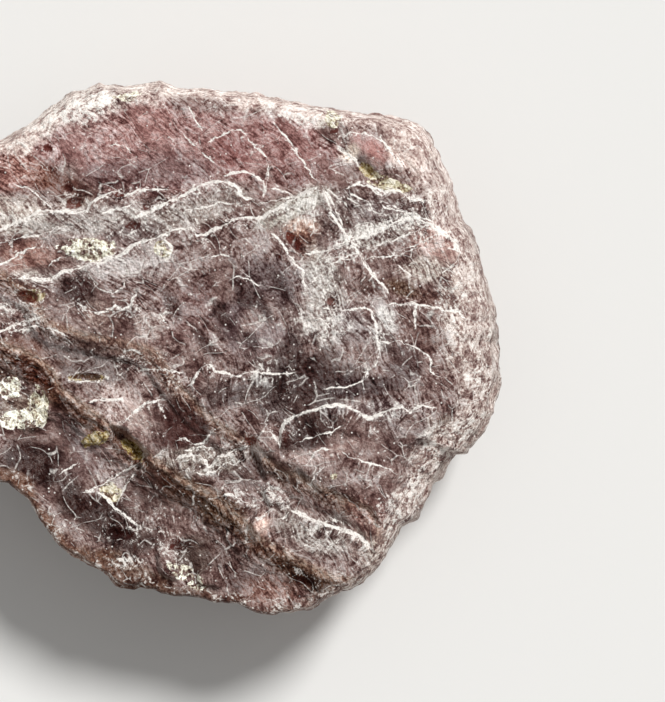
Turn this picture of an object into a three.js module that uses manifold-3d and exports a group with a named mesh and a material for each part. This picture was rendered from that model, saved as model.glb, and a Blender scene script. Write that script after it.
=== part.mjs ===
// A rough ruby crystal: one six-sided tablet of corundum, lying on its back face with its broken
// broad face up. Thin parting sheets have come off the broad face and left ledges and terraces.
// Millimetres, +Z up, origin under the middle of the crystal on the surface that it lies on.

import * as THREE from "three";
import { mergeVertices } from "three/addons/utils/BufferGeometryUtils.js";
import Module from "manifold-3d";

// Heights above the back face.
const FACE_HEIGHT = 20.0; // the mean of the broad face
const TOP_SHEET = 20.5; // the highest sheet left on it
const SHOULDER_HEIGHT = 19.2; // where the face turns down into the rim
const GIRDLE_HEIGHT = 10.0; // the widest section
const STOCK_HEIGHT = 22.0; // the uncut crystal, before its sheets come off

// Places are read off a drawing of the crystal from above: millimetres right and down from the
// drawing's upper left corner, true to size at the height of the broad face.
const DRAWING_MIDDLE = new THREE.Vector2(33.25, 35.1); // straight below the drawing's eye
const DRAWING_ORIGIN = new THREE.Vector2(19.98, 34.79); // the point over the part's origin
const EYE_DISTANCE = 350; // from the eye to the broad face
const GIRDLE_SPREAD = (EYE_DISTANCE + FACE_HEIGHT - GIRDLE_HEIGHT) / EYE_DISTANCE;

// The girdle's corners, clockwise from the middle of the upper left side.
const GIRDLE = [
  [0, 13.8], [1.0, 13.4], [2.4, 12.4], [4.0, 11.0], [5.1, 10.3], [6.1, 9.6], [6.6, 9.0],
  [8.0, 8.7], [9.9, 8.1], [12.5, 8.3], [13.7, 8.1], [16.2, 8.0], [18.0, 8.6], [21.0, 8.65],
  [24.0, 9.1], [26.0, 9.35], [29.0, 9.8], [31.3, 10.3], [34.5, 10.8], [38.5, 11.2],
  [41.0, 11.65], [42.4, 12.5], [43.3, 13.4], [44.0, 14.9], [45.2, 17.8], [45.7, 19.0],
  [46.4, 20.8], [46.6, 21.9], [47.6, 22.9], [48.7, 26.2], [49.1, 28.3], [50.1, 31.2],
  [50.4, 33.0], [50.2, 34.2], [50.5, 36.5], [50.3, 38.6], [50.0, 41.0], [49.4, 42.4],
  [48.1, 44.3], [47.2, 45.6], [46.3, 45.75], [45.2, 47.0], [43.8, 48.6], [43.4, 50.0],
  [42.6, 51.2], [42.0, 52.0], [40.6, 52.9], [39.6, 54.3], [39.1, 55.2], [37.6, 57.4],
  [36.2, 58.6], [34.3, 59.4], [32.5, 60.3], [30.8, 61.1], [28.3, 61.35], [27.8, 61.6],
  [25.8, 61.45], [24.5, 60.7], [24.0, 60.4], [21.6, 60.4], [20.3, 59.8], [17.3, 59.8],
  [15.0, 59.1], [14.1, 58.85], [13.5, 59.1], [12.0, 58.9], [10.7, 57.8], [8.7, 56.6],
  [6.0, 54.9], [4.7, 53.0], [3.7, 51.6], [3.0, 50.4], [2.2, 49.7], [0.8, 48.5], [0, 48.35],
  [-2.2, 47.6], [-4.6, 45.9], [-7.0, 42.9], [-8.9, 39.2], [-9.8, 34.8], [-9.6, 29.6],
  [-8.6, 24.0], [-7.0, 19.4], [-4.8, 16.0], [-2.2, 14.3],
];

// How far the face's edge and the back's edge lie inside the girdle: [degrees from +X, millimetres].
const RIM_WIDTH = [
  [0, 4.2], [20, 3.0], [40, 3.0], [48, 3.5], [60, 2.2], [90, 1.8], [110, 2.3], [118, 3.2],
  [130, 2.4], [145, 2.0], [180, 3.2], [215, 1.8], [230, 1.6], [240, 2.4], [255, 2.2],
  [270, 1.4], [285, 1.3], [300, 1.4], [310, 1.6], [318, 1.8], [325, 3.6], [335, 4.4],
  [345, 4.5], [355, 4.5],
];
const BACK_WIDTH = [[0, 3.6], [60, 4.6], [120, 3.4], [180, 5.0], [240, 4.2], [300, 3.6]];

// The sides' profile: [share of the way down or up from the girdle's far edge, share of the width].
const RIM_PROFILE = [[0, 1], [0.12, 0.62], [0.34, 0.34], [0.64, 0.14], [1, 0]];
const BACK_PROFILE = [[0, 0], [0.3, 0.08], [0.62, 0.3], [0.86, 0.62], [1, 1]];
const SLOPE_ABOVE_SHOULDER = 0.6; // how fast the uncut stock narrows above the shoulder

// Small parting ledges round the sides: height, overhang, waves of the overhang round the girdle.
const SIDE_LEDGES = [
  { height: 3.6, depth: 0.5, waves: 3, phase: 0.4 },
  { height: 7.4, depth: 0.4, waves: 4, phase: 2.1 },
  { height: 13.6, depth: 0.45, waves: 5, phase: 4.0 },
];
const LEDGE_FADE = 3.0; // how far above a side ledge the side is back in line
const LEDGE_GAP = 0.1; // the height of the ledge itself
const STATION_SPACING = 2.0; // round the girdle
const SIDE_ROUGHNESS = 0.5;
const RING_HEIGHTS = [1.6, 5.5, GIRDLE_HEIGHT, 11.9, 15.6, 17.6, SHOULDER_HEIGHT];
const RING_WARP = 0.55; // how far the side's sheets rise and fall on their way round

// Edges of the sheets on the broad face, each from beyond the left side to beyond the right one.
const GREAT_LEDGE = [
  [-14, 33.6], [0, 34.3], [2.5, 35.3], [4.5, 36.4], [5.5, 37.6], [6.0, 38.8], [7.5, 39.8],
  [9.0, 41.0], [10.5, 42.1], [12.0, 43.1], [13.5, 44.3], [15.0, 45.5], [16.5, 46.6],
  [18.0, 47.6], [19.5, 48.5], [21.0, 49.3], [22.2, 50.3], [23.5, 51.5], [24.8, 52.6],
  [25.5, 53.5], [27.0, 54.3], [28.5, 55.2], [30.0, 56.0], [31.2, 56.7], [32.5, 57.3],
  [34.5, 57.9], [36.5, 58.2], [46, 58.6],
];
const UPPER_LEDGE = [
  [-14, 26.4], [0, 27.2], [1.5, 28.2], [3.5, 29.2], [3.8, 30.5], [4.5, 31.8], [5.8, 32.7],
  [7.5, 33.1], [9.0, 33.4], [11.0, 33.8], [13.0, 34.1], [14.5, 34.5], [15.7, 35.2],
  [16.5, 36.2], [17.3, 37.3], [18.0, 38.5], [19.0, 39.7], [20.0, 40.7], [21.2, 41.7],
  [22.5, 42.7], [24.0, 43.6], [25.2, 44.0], [26.2, 45.2], [27.2, 46.2], [28.5, 47.0],
  [29.8, 47.4], [31.2, 48.4], [32.5, 49.0], [34.0, 49.6], [35.5, 50.1], [36.8, 50.7],
  [37.6, 51.8], [38.1, 53.0], [38.5, 54.5], [40, 57], [48, 60],
];
const BAND_SCALES = [
  [-14, 27.5], [0, 33.0], [3.5, 35.0], [8.5, 40.2], [12.0, 39.9], [13.5, 41.2], [15.5, 40.1],
  [17.2, 46.0], [18.5, 45.6], [20.0, 45.5], [20.8, 46.8], [21.8, 45.7], [23.5, 45.0],
  [25.2, 44.6], [26.5, 47.5], [27.4, 52.0], [28.5, 51.8], [29.0, 51.0], [31.0, 51.9],
  [32.5, 52.5], [34.0, 53.0], [35.2, 53.3], [36.2, 53.8], [37.3, 55.2], [40, 58], [48, 61],
];
const ROSE_EDGE = [
  [-14, 24.0], [0, 22.9], [1.7, 22.2], [3.0, 21.5], [4.5, 21.0], [6.0, 20.9], [7.5, 21.3],
  [8.5, 21.1], [9.2, 20.2], [10.0, 19.7], [11.0, 19.2], [12.5, 19.4], [14.0, 19.0],
  [16.5, 18.8], [18.5, 19.3], [20.0, 18.5], [21.2, 18.1], [22.2, 18.0], [24.0, 17.2],
  [25.5, 17.5], [26.4, 18.3], [28.0, 18.9], [29.7, 19.4], [30.8, 18.9], [32.0, 18.5],
  [34.0, 18.4], [35.8, 18.2], [37.5, 18.7], [40.0, 19.0], [40.8, 19.8], [43.0, 20.0],
  [46, 20.5], [54, 20.5],
];
const GREY_EDGE = [
  [-14, 26.0], [0, 26.6], [1.5, 27.6], [3.0, 27.9], [5.0, 28.0], [6.0, 27.2], [7.5, 26.9],
  [8.5, 26.6], [9.2, 26.1], [10.0, 26.4], [11.2, 25.8], [12.5, 25.2], [14.0, 24.2],
  [15.5, 23.8], [17.2, 23.0], [19.0, 22.8], [19.7, 23.5], [20.5, 23.5], [22.2, 22.5],
  [23.2, 21.9], [24.3, 21.6], [26.2, 21.8], [28.0, 20.8], [30.0, 19.5], [31.8, 18.6],
  [32.2, 18.8], [33.0, 20.5], [33.8, 22.4], [34.5, 23.3], [35.7, 25.0], [36.4, 26.3],
  [37.2, 27.5], [38.3, 28.5], [39.2, 29.8], [41.0, 30.2], [43.0, 30.6], [45.5, 31.6],
  [47.2, 32.6], [54, 34],
];
const MIDDLE_EDGE = [
  [-14, 60], [10, 60], [17.0, 40.0], [18.5, 38.6], [19.2, 38.4], [19.6, 37.5], [20.0, 36.8],
  [21.0, 36.5], [21.5, 37.1], [23.5, 37.6], [24.8, 37.2], [28.5, 37.4], [30.0, 37.0],
  [32.0, 38.9], [35.2, 38.6], [36.6, 37.8], [38.0, 37.2], [41.0, 38.4], [44.0, 37.6],
  [46, 38], [54, 38],
];
const LONG_SCALE_EDGE = [
  [-14, 62], [12, 62], [24.5, 46], [25.7, 44.2], [26.2, 43.2], [27.0, 43.0], [27.5, 43.7],
  [27.9, 45.0], [28.0, 44.0], [28.1, 43.0], [28.5, 42.2], [29.5, 41.6], [30.5, 41.3],
  [31.5, 41.0], [32.5, 40.6], [33.5, 40.5], [35.0, 40.7], [35.8, 41.1], [36.5, 41.7],
  [37.2, 41.8], [38.0, 41.4], [39.0, 40.9], [40.0, 40.6], [40.7, 40.9], [41.0, 41.2],
  [41.5, 40.8], [42.2, 40.5], [43.0, 40.7], [43.8, 40.8], [46, 41.2], [54, 41.2],
];
const FAR_ABOVE = [[60, -10], [-20, -10]];
const FAR_BELOW = [[60, 80], [-20, 80]];

// What has come off: the region, how far below the highest sheet it is cut, and how many thin
// sheets its edge shows, each set back from the one below.
const MISSING_SHEETS = [
  { region: [...FAR_ABOVE, ...FAR_BELOW.toReversed()], depth: 0.0, steps: 1 },
  { region: [...LONG_SCALE_EDGE, ...FAR_ABOVE], depth: 0.25, steps: 1 },
  { region: [...MIDDLE_EDGE, ...FAR_ABOVE], depth: 0.5, steps: 1 },
  { region: [...GREY_EDGE, ...FAR_ABOVE], depth: 0.9, steps: 1 },
  { region: [...ROSE_EDGE, ...FAR_ABOVE], depth: 1.3, steps: 1 },
  { region: [...UPPER_LEDGE, ...FAR_BELOW], depth: 1.4, steps: 2 },
  { region: [...BAND_SCALES, ...UPPER_LEDGE.toReversed()], depth: 1.75, steps: 1 },
  { region: [...GREAT_LEDGE, ...FAR_BELOW], depth: 3.2, steps: 4 },
  // The wedges and the groove that hold the green and brown mica.
  { region: [[9.4, 49.0], [10.5, 48.0], [13.8, 46.6], [12.6, 48.5], [11.4, 50.6]], depth: 3.8, steps: 1 },
  { region: [[11.0, 42.6], [12.4, 43.0], [14.8, 45.4], [13.6, 46.4], [12.9, 45.0], [11.3, 44.2]], depth: 3.9, steps: 1 },
  { region: [[35.0, 15.2], [36.6, 16.1], [38.5, 17.8], [40.2, 18.6], [38.0, 18.8], [36.4, 17.6]], depth: 1.9, steps: 1 },
];
const STEP_SETBACK = 0.6; // from one thin sheet's edge to the next
const EDGE_PIECE = 1.5; // the sheets' edges are broken into pieces of about this length
const EDGE_JITTER = 0.24;
const DOWN_SLOPE = new THREE.Vector2(-0.6, -0.8); // the way the two great ledges face

// What has come off the back face, so that it rests on the rest: region and depth.
const BACK_RECESSES = [
  {
    region: [
      [60, 26], [60, 66], [26, 66], [28.5, 58], [27.8, 53], [30.5, 49.5], [31, 45], [34.5, 42],
      [35, 37.5], [38.5, 35], [43, 33],
    ],
    depth: 0.9,
  },
  {
    region: [
      [-14, 4], [14, 4], [12.2, 9], [9.5, 12], [10.2, 15.5], [7, 18], [4.6, 21.6], [1, 22.4],
      [-2, 26], [-14, 28],
    ],
    depth: 1.3,
  },
];

// The broad face's gentle waves, shared by all its sheets: [height, waves, turn, phase].
const WAVES = [
  { height: 0.26, length: 41, turn: 0.5, phase: 0.6 },
  { height: 0.18, length: 26, turn: 2.2, phase: 2.0 },
  { height: 0.1, length: 14, turn: 1.2, phase: 4.4 },
];
const FACE_TILT = new THREE.Vector2(0.01, -0.008);
const SHEET_CELLS = [26, 22];
const SHEET_SPAN = [70, 64];
const CELL_JITTER = 0.7;
const CELL_ROUGHNESS = 0.06;

// Small pits: place, half sizes along and across, turn in degrees.
const PITS = [
  { at: [4.7, 14.8], half: [0.5, 0.4], turn: -40 },
  { at: [7.4, 20.3], half: [1.0, 0.6], turn: 15 },
  { at: [6.8, 18.8], half: [0.6, 0.35], turn: -35 },
  { at: [12.0, 19.4], half: [0.5, 0.4], turn: 0 },
  { at: [14.6, 20.6], half: [0.45, 0.4], turn: 0 },
  { at: [13.3, 22.5], half: [0.9, 0.45], turn: 5 },
  { at: [29.3, 24.2], half: [1.5, 0.75], turn: -52 },
  { at: [2.8, 29.6], half: [1.3, 0.9], turn: -20 },
  { at: [8.6, 37.7], half: [1.4, 0.4], turn: 0 },
  { at: [25.2, 44.1], half: [0.8, 0.5], turn: 10 },
  { at: [11.8, 53.5], half: [1.2, 0.6], turn: -8 },
  { at: [17.6, 54.8], half: [0.8, 0.45], turn: 10 },
  { at: [30.5, 58.2], half: [1.4, 0.7], turn: -12 },
  { at: [33.1, 30.2], half: [0.5, 0.4], turn: 0 },
];

// Small lumps: place, half sizes along, across and up, turn in degrees.
const LUMPS = [
  { at: [26.0, 52.4], half: [1.2, 1.0, 0.8], turn: -60 },
  { at: [16.8, 56.6], half: [2.0, 1.1, 0.7], turn: -60 },
  { at: [21.0, 58.1], half: [1.6, 0.9, 0.7], turn: -25 },
  { at: [27.4, 49.6], half: [1.9, 1.1, 0.6], turn: -38 },
  { at: [9.3, 43.9], half: [1.6, 0.7, 0.6], turn: 14 },
  { at: [8.8, 24.7], half: [2.9, 1.0, 0.4], turn: -6 },
  { at: [3.4, 41.6], half: [1.8, 1.2, 0.6], turn: 60 },
  { at: [36.9, 14.9], half: [3.8, 1.6, 0.38], turn: -42 },
];

const RUBY = new THREE.MeshStandardMaterial({ color: 0x8a6a66, roughness: 0.5, metalness: 0 });

// A repeatable number from -1 to 1 for a pair of whole numbers.
function scatter(i, j) {
  const s = Math.sin(i * 12.9898 + j * 78.233 + 4.7) * 43758.5453;
  return 2 * (s - Math.floor(s)) - 1;
}

// A drawing's place in the part's frame, for something at the height of the broad face.
function onFace([right, down]) {
  return new THREE.Vector2(right - DRAWING_ORIGIN.x, DRAWING_ORIGIN.y - down);
}

// The same for the girdle, which lies further from the eye and so is larger than drawn.
function onGirdle([right, down]) {
  return onFace([
    DRAWING_MIDDLE.x + (right - DRAWING_MIDDLE.x) * GIRDLE_SPREAD,
    DRAWING_MIDDLE.y + (down - DRAWING_MIDDLE.y) * GIRDLE_SPREAD,
  ]);
}

// The value at x of a line through [x, y] points, held level past its ends.
function along(points, x) {
  const next = points.findIndex((p) => p[0] >= x);
  if (next < 0) return points[points.length - 1][1];
  if (next === 0) return points[0][1];
  const [x0, y0] = points[next - 1];
  const [x1, y1] = points[next];
  return THREE.MathUtils.mapLinear(x, x0, x1, y0, y1);
}

// The same for a table of degrees that runs round the whole circle.
function around(table, radians) {
  const degrees = THREE.MathUtils.euclideanModulo(THREE.MathUtils.radToDeg(radians), 360);
  return along([...table, [360, table[0][1]]], degrees);
}

// How far the side lies inside the girdle at a height and a direction.
function sideInset(height, radians) {
  let inset;
  if (height >= GIRDLE_HEIGHT) {
    const down = (SHOULDER_HEIGHT - height) / (SHOULDER_HEIGHT - GIRDLE_HEIGHT);
    inset = around(RIM_WIDTH, radians) * along(RIM_PROFILE, down);
    inset += Math.max(0, height - SHOULDER_HEIGHT) * SLOPE_ABOVE_SHOULDER;
  } else {
    inset = around(BACK_WIDTH, radians) * along(BACK_PROFILE, 1 - height / GIRDLE_HEIGHT);
  }
  for (const ledge of SIDE_LEDGES) {
    const above = height - ledge.height;
    if (above > 0 && above < LEDGE_FADE) {
      const reach = Math.max(0, Math.sin(ledge.waves * radians + ledge.phase));
      inset += ledge.depth * reach * (1 - above / LEDGE_FADE);
    }
  }
  return inset;
}

// The broad face's height above the level of its sheet.
function wave(x, y) {
  let z = FACE_TILT.x * x + FACE_TILT.y * y;
  for (const w of WAVES) {
    const run = x * Math.cos(w.turn) + y * Math.sin(w.turn);
    z += w.height * Math.sin((2 * Math.PI * run) / w.length + w.phase);
  }
  return z;
}

function inside(region, point) {
  let odd = false;
  for (let i = 0, j = region.length - 1; i < region.length; j = i++) {
    const a = region[i];
    const b = region[j];
    const crosses = a.y > point.y !== b.y > point.y;
    if (crosses && point.x < a.x + ((point.y - a.y) * (b.x - a.x)) / (b.y - a.y)) odd = !odd;
  }
  return odd;
}

// The height of the finished broad face at a point.
function faceHeight(point) {
  const cut = MISSING_SHEETS.filter(({ region }) => inside(region.map(onFace), point));
  const depth = Math.max(...cut.map((sheet) => sheet.depth));
  return TOP_SHEET - depth + wave(point.x, point.y);
}

const wasm = await Module();
wasm.setup();

// A closed geometry as a solid.
function solid(geometry) {
  const bare = geometry.clone();
  for (const name of Object.keys(bare.attributes)) if (name !== "position") bare.deleteAttribute(name);
  const merged = mergeVertices(bare, 1e-4);
  return new wasm.Manifold(
    new wasm.Mesh({
      numProp: 3,
      vertProperties: merged.attributes.position.array,
      triVerts: new Uint32Array(merged.index.array),
    }),
  );
}

// A solid as a geometry with flat faces.
function geometryOf(made) {
  const { vertProperties, triVerts } = made.getMesh();
  const geometry = new THREE.BufferGeometry()
    .setAttribute("position", new THREE.BufferAttribute(vertProperties, 3))
    .setIndex(new THREE.BufferAttribute(triVerts, 1))
    .toNonIndexed();
  geometry.computeVertexNormals();
  return geometry;
}

// The girdle as directions and radii, with points added on its longer sides.
function girdleStations() {
  const corners = GIRDLE.map(onGirdle);
  const stations = [];
  corners.forEach((corner, i) => {
    const next = corners[(i + 1) % corners.length];
    const pieces = Math.max(1, Math.round(corner.distanceTo(next) / STATION_SPACING));
    for (let k = 0; k < pieces; k++) stations.push(corner.clone().lerp(next, k / pieces));
  });
  return stations.reverse().map((p) => ({ angle: p.angle(), radius: p.length() }));
}

// The uncut crystal: rings of the girdle's shape, drawn in by the side's profile, with flat ends.
function stock() {
  const stations = girdleStations();
  const count = stations.length;
  const heights = [0, ...RING_HEIGHTS, STOCK_HEIGHT];
  for (const { height } of SIDE_LEDGES) heights.push(height, height + LEDGE_GAP);
  heights.sort((a, b) => a - b);
  const positions = [];
  heights.forEach((height, ring) => {
    const outer = height === GIRDLE_HEIGHT || height === 0 || height === STOCK_HEIGHT;
    const between = THREE.MathUtils.smoothstep(height, 0, 3) * (1 - THREE.MathUtils.smoothstep(height, 15, 18));
    stations.forEach(({ angle, radius }, k) => {
      const before = stations[(k + count - 2) % count].radius;
      const after = stations[(k + 2) % count].radius;
      const inset = sideInset(height, angle);
      const even = Math.min(1, inset / 3); // small corners fade away from the girdle
      const bump = outer ? 0 : SIDE_ROUGHNESS * Math.abs(scatter(ring, k));
      const r = THREE.MathUtils.lerp(radius, (before + radius + after) / 3, even) - inset - bump;
      const warp = RING_WARP * between * Math.sin(2 * angle + 0.6 * ring);
      positions.push(r * Math.cos(angle), r * Math.sin(angle), height + warp);
    });
  });
  const index = [];
  for (let ring = 0; ring + 1 < heights.length; ring++)
    for (let k = 0; k < count; k++) {
      const a = ring * count + k;
      const b = ring * count + ((k + 1) % count);
      const turned = scatter(k, ring) > 0;
      if (turned) index.push(a, b, b + count, a, b + count, a + count);
      else index.push(a, b, a + count, b, b + count, a + count);
    }
  const top = (heights.length - 1) * count;
  const end = positions.length / 3;
  positions.push(0, 0, 0, 0, 0, STOCK_HEIGHT);
  for (let k = 0; k < count; k++) {
    const next = (k + 1) % count;
    index.push(end, next, k, end + 1, top + k, top + next);
  }
  const geometry = new THREE.BufferGeometry();
  geometry.setAttribute("position", new THREE.Float32BufferAttribute(positions, 3));
  geometry.setIndex(index);
  return solid(geometry);
}

// Everything above a waved sheet: a slab whose underside follows the broad face's waves.
function aboveSheet(level) {
  const thick = STOCK_HEIGHT + 2 - level;
  const slab = new THREE.BoxGeometry(...SHEET_SPAN, thick, ...SHEET_CELLS, 1);
  const place = slab.attributes.position;
  for (let i = 0; i < place.count; i++) {
    const column = Math.round((place.getX(i) / SHEET_SPAN[0] + 0.5) * SHEET_CELLS[0]);
    const row = Math.round((place.getY(i) / SHEET_SPAN[1] + 0.5) * SHEET_CELLS[1]);
    const inner = column > 0 && column < SHEET_CELLS[0] && row > 0 && row < SHEET_CELLS[1];
    const x = place.getX(i) + (inner ? CELL_JITTER * scatter(column, row) : 0);
    const y = place.getY(i) + (inner ? CELL_JITTER * scatter(row, column + 50) : 0);
    const rough = CELL_ROUGHNESS * scatter(column + 90, row);
    const under = place.getZ(i) < 0;
    place.setXYZ(i, x, y, under ? level + wave(x, y) + rough : STOCK_HEIGHT + 2);
  }
  return solid(slab);
}

// An upright prism over a region of the part's frame.
function prism(points, low, high) {
  const shape = new THREE.Shape(points);
  const geometry = new THREE.ExtrudeGeometry(shape, { depth: high - low, bevelEnabled: false });
  return solid(geometry.translate(0, 0, low));
}

// A region's outline with its edges broken into short uneven pieces, and set back down the slope.
function broken(region, setback) {
  const corners = region.map(onFace);
  if (THREE.ShapeUtils.area(corners) < 0) corners.reverse();
  const points = [];
  corners.forEach((corner, i) => {
    const next = corners[(i + 1) % corners.length];
    const near = Math.max(Math.abs(corner.x), Math.abs(next.x)) < 38;
    const pieces = near ? Math.max(1, Math.round(corner.distanceTo(next) / EDGE_PIECE)) : 1;
    const inward = next.clone().sub(corner).rotateAround(new THREE.Vector2(), Math.PI / 2).normalize();
    for (let k = 0; k < pieces; k++) {
      const seed = Math.round(31 * corner.x + 17 * corner.y);
      const point = corner.clone().lerp(next, k / pieces);
      const uneven = 1 + 0.45 * Math.sin(0.8 * point.x + 2.3 * setback);
      point.addScaledVector(inward, near ? EDGE_JITTER * scatter(k, seed) : 0);
      points.push(point.addScaledVector(DOWN_SLOPE, setback * uneven));
    }
  });
  return points;
}

// What one missing sheet leaves: its region cut down in even steps, the deepest set back furthest.
function missing({ region, depth, steps }, previous) {
  const cuts = [];
  for (let step = 1; step <= steps; step++) {
    const level = TOP_SHEET - THREE.MathUtils.lerp(previous, depth, step / steps);
    const edge = broken(region, STEP_SETBACK * (step - 1));
    cuts.push(prism(edge, 0, STOCK_HEIGHT + 1).intersect(aboveSheet(level)));
  }
  return wasm.Manifold.union(cuts);
}

// A faceted ball, stretched, turned and set at a point of the broad face.
function nugget({ at, half, turn }, high, lift) {
  const point = onFace(at);
  const ball = new THREE.IcosahedronGeometry(1, half[0] > 1.1 ? 1 : 0);
  const corner = ball.attributes.position;
  for (let i = 0; i < corner.count; i++) {
    const seed = Math.round(7 * corner.getX(i) + 11 * corner.getY(i));
    const out = 1 + NUGGET_ROUGHNESS * scatter(seed, Math.round(13 * corner.getZ(i) + at[0]));
    corner.setXYZ(i, corner.getX(i) * out, corner.getY(i) * out, corner.getZ(i) * out);
  }
  ball.scale(half[0], half[1], high);
  ball.rotateZ(THREE.MathUtils.degToRad(turn));
  ball.translate(point.x, point.y, faceHeight(point) + lift);
  return solid(ball);
}

const NUGGET_ROUGHNESS = 0.16;
const PIT_DEPTH = 1.1; // times a pit's half width
const BAND_BASE = 0.9; // how far down the ledges' stepped edges start

let crystal = stock();
for (const sheet of MISSING_SHEETS) {
  const previous = sheet.steps > 1 ? Math.min(BAND_BASE, sheet.depth / 2) : 0;
  crystal = crystal.subtract(missing(sheet, previous));
}
for (const recess of BACK_RECESSES) crystal = crystal.subtract(prism(broken(recess.region, 0), -1, recess.depth));
for (const lump of LUMPS) crystal = crystal.add(nugget(lump, lump.half[2], 0));
for (const pit of PITS) crystal = crystal.subtract(nugget(pit, PIT_DEPTH * pit.half[1], 0));

const ruby = new THREE.Mesh(geometryOf(crystal), RUBY);
ruby.name = "ruby_crystal";

const part = new THREE.Group();
part.add(ruby);

export default part;
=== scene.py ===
"""A rough ruby crystal lying on its back, seen from straight above its broad, broken face.

Places on the broad face are in a drawing of it, which is the photograph's frame ruled in
millimetres: right and down from the upper left corner, true to size at the face's height. The
part's own frame has its origin under the crystal's middle.
"""

import math

import bpy
import numpy as np
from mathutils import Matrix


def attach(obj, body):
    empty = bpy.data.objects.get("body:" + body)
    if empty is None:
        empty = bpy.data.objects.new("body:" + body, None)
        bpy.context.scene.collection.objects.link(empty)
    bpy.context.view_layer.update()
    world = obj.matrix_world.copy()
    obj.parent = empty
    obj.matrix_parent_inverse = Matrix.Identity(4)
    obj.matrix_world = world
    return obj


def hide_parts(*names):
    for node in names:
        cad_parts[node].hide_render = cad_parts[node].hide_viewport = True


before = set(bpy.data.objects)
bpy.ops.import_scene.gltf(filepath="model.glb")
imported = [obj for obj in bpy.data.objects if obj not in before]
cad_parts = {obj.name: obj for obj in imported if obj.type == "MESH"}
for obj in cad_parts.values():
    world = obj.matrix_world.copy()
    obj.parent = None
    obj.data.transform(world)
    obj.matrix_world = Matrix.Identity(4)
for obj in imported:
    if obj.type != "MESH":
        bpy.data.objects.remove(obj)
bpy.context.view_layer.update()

# Heights above the back face, in millimetres.
FACE_HEIGHT = 20.0
TOP_SHEET = 20.5
SHOULDER_HEIGHT = 19.2
GIRDLE_HEIGHT = 10.0
SLOPE_ABOVE_SHOULDER = 0.6

# The drawing's eye, and the point of the drawing over the part's origin.
DRAWING_MIDDLE = np.array([33.25, 35.1])
DRAWING_ORIGIN = np.array([19.98, 34.79])
DRAWING_HEIGHT = 70.2
EYE_DISTANCE = 350.0
GIRDLE_SPREAD = (EYE_DISTANCE + FACE_HEIGHT - GIRDLE_HEIGHT) / EYE_DISTANCE

# The girdle, clockwise from the middle of the upper left side.
GIRDLE = [
    (0, 13.8), (1.0, 13.4), (2.4, 12.4), (4.0, 11.0), (5.1, 10.3), (6.1, 9.6), (6.6, 9.0),
    (8.0, 8.7), (9.9, 8.1), (12.5, 8.3), (13.7, 8.1), (16.2, 8.0), (18.0, 8.6), (21.0, 8.65),
    (24.0, 9.1), (26.0, 9.35), (29.0, 9.8), (31.3, 10.3), (34.5, 10.8), (38.5, 11.2),
    (41.0, 11.65), (42.4, 12.5), (43.3, 13.4), (44.0, 14.9), (45.2, 17.8), (45.7, 19.0),
    (46.4, 20.8), (46.6, 21.9), (47.6, 22.9), (48.7, 26.2), (49.1, 28.3), (50.1, 31.2),
    (50.4, 33.0), (50.2, 34.2), (50.5, 36.5), (50.3, 38.6), (50.0, 41.0), (49.4, 42.4),
    (48.1, 44.3), (47.2, 45.6), (46.3, 45.75), (45.2, 47.0), (43.8, 48.6), (43.4, 50.0),
    (42.6, 51.2), (42.0, 52.0), (40.6, 52.9), (39.6, 54.3), (39.1, 55.2), (37.6, 57.4),
    (36.2, 58.6), (34.3, 59.4), (32.5, 60.3), (30.8, 61.1), (28.3, 61.35), (27.8, 61.6),
    (25.8, 61.45), (24.5, 60.7), (24.0, 60.4), (21.6, 60.4), (20.3, 59.8), (17.3, 59.8),
    (15.0, 59.1), (14.1, 58.85), (13.5, 59.1), (12.0, 58.9), (10.7, 57.8), (8.7, 56.6),
    (6.0, 54.9), (4.7, 53.0), (3.7, 51.6), (3.0, 50.4), (2.2, 49.7), (0.8, 48.5), (0, 48.35),
    (-2.2, 47.6), (-4.6, 45.9), (-7.0, 42.9), (-8.9, 39.2), (-9.8, 34.8), (-9.6, 29.6),
    (-8.6, 24.0), (-7.0, 19.4), (-4.8, 16.0), (-2.2, 14.3),
]

# How far the face's edge and the back's edge lie inside the girdle: degrees from +X, width.
RIM_WIDTH = [
    (0, 4.2), (20, 3.0), (40, 3.0), (48, 3.5), (60, 2.2), (90, 1.8), (110, 2.3), (118, 3.2),
    (130, 2.4), (145, 2.0), (180, 3.2), (215, 1.8), (230, 1.6), (240, 2.4), (255, 2.2),
    (270, 1.4), (285, 1.3), (300, 1.4), (310, 1.6), (318, 1.8), (325, 3.6), (335, 4.4),
    (345, 4.5), (355, 4.5),
]
BACK_WIDTH = [(0, 3.6), (60, 4.6), (120, 3.4), (180, 5.0), (240, 4.2), (300, 3.6)]

# The sides' profile, as shares of the width inwards and of the height from the girdle.
RIM_PROFILE = [(0, 0), (0.14, 0.36), (0.34, 0.66), (0.62, 0.88), (1, 1)]
BACK_PROFILE = [(0, 0), (0.3, 0.08), (0.62, 0.3), (0.86, 0.62), (1, 1)]
SEAM_SHARE = 0.34  # where the face's own surface hands over to the side's

# Small overhanging ledges on the sides: height, depth, how many round the side, phase; and how
# far above each ledge the side is back in place.
SIDE_LEDGES = [(3.6, 0.5, 3, 0.4), (7.4, 0.4, 4, 2.1), (13.6, 0.45, 5, 4.0)]
LEDGE_FADE = 3.0

# The face's and the back's grids, and the heights of the rings between them.
FACE_CELLS = 236  # along each side of the broad face's grid
BACK_CELLS = FACE_CELLS // 2
UPPER_ROWS = np.array([15.2, 14.4, 13.75, 13.6, 12.9, 12.2, 11.5, 10.7, 10.0])
LOWER_ROWS = np.array([9.2, 8.3, 7.5, 7.4, 6.4, 5.4, 4.5, 3.7, 3.6, 2.7, 1.8, 0.9])

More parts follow.
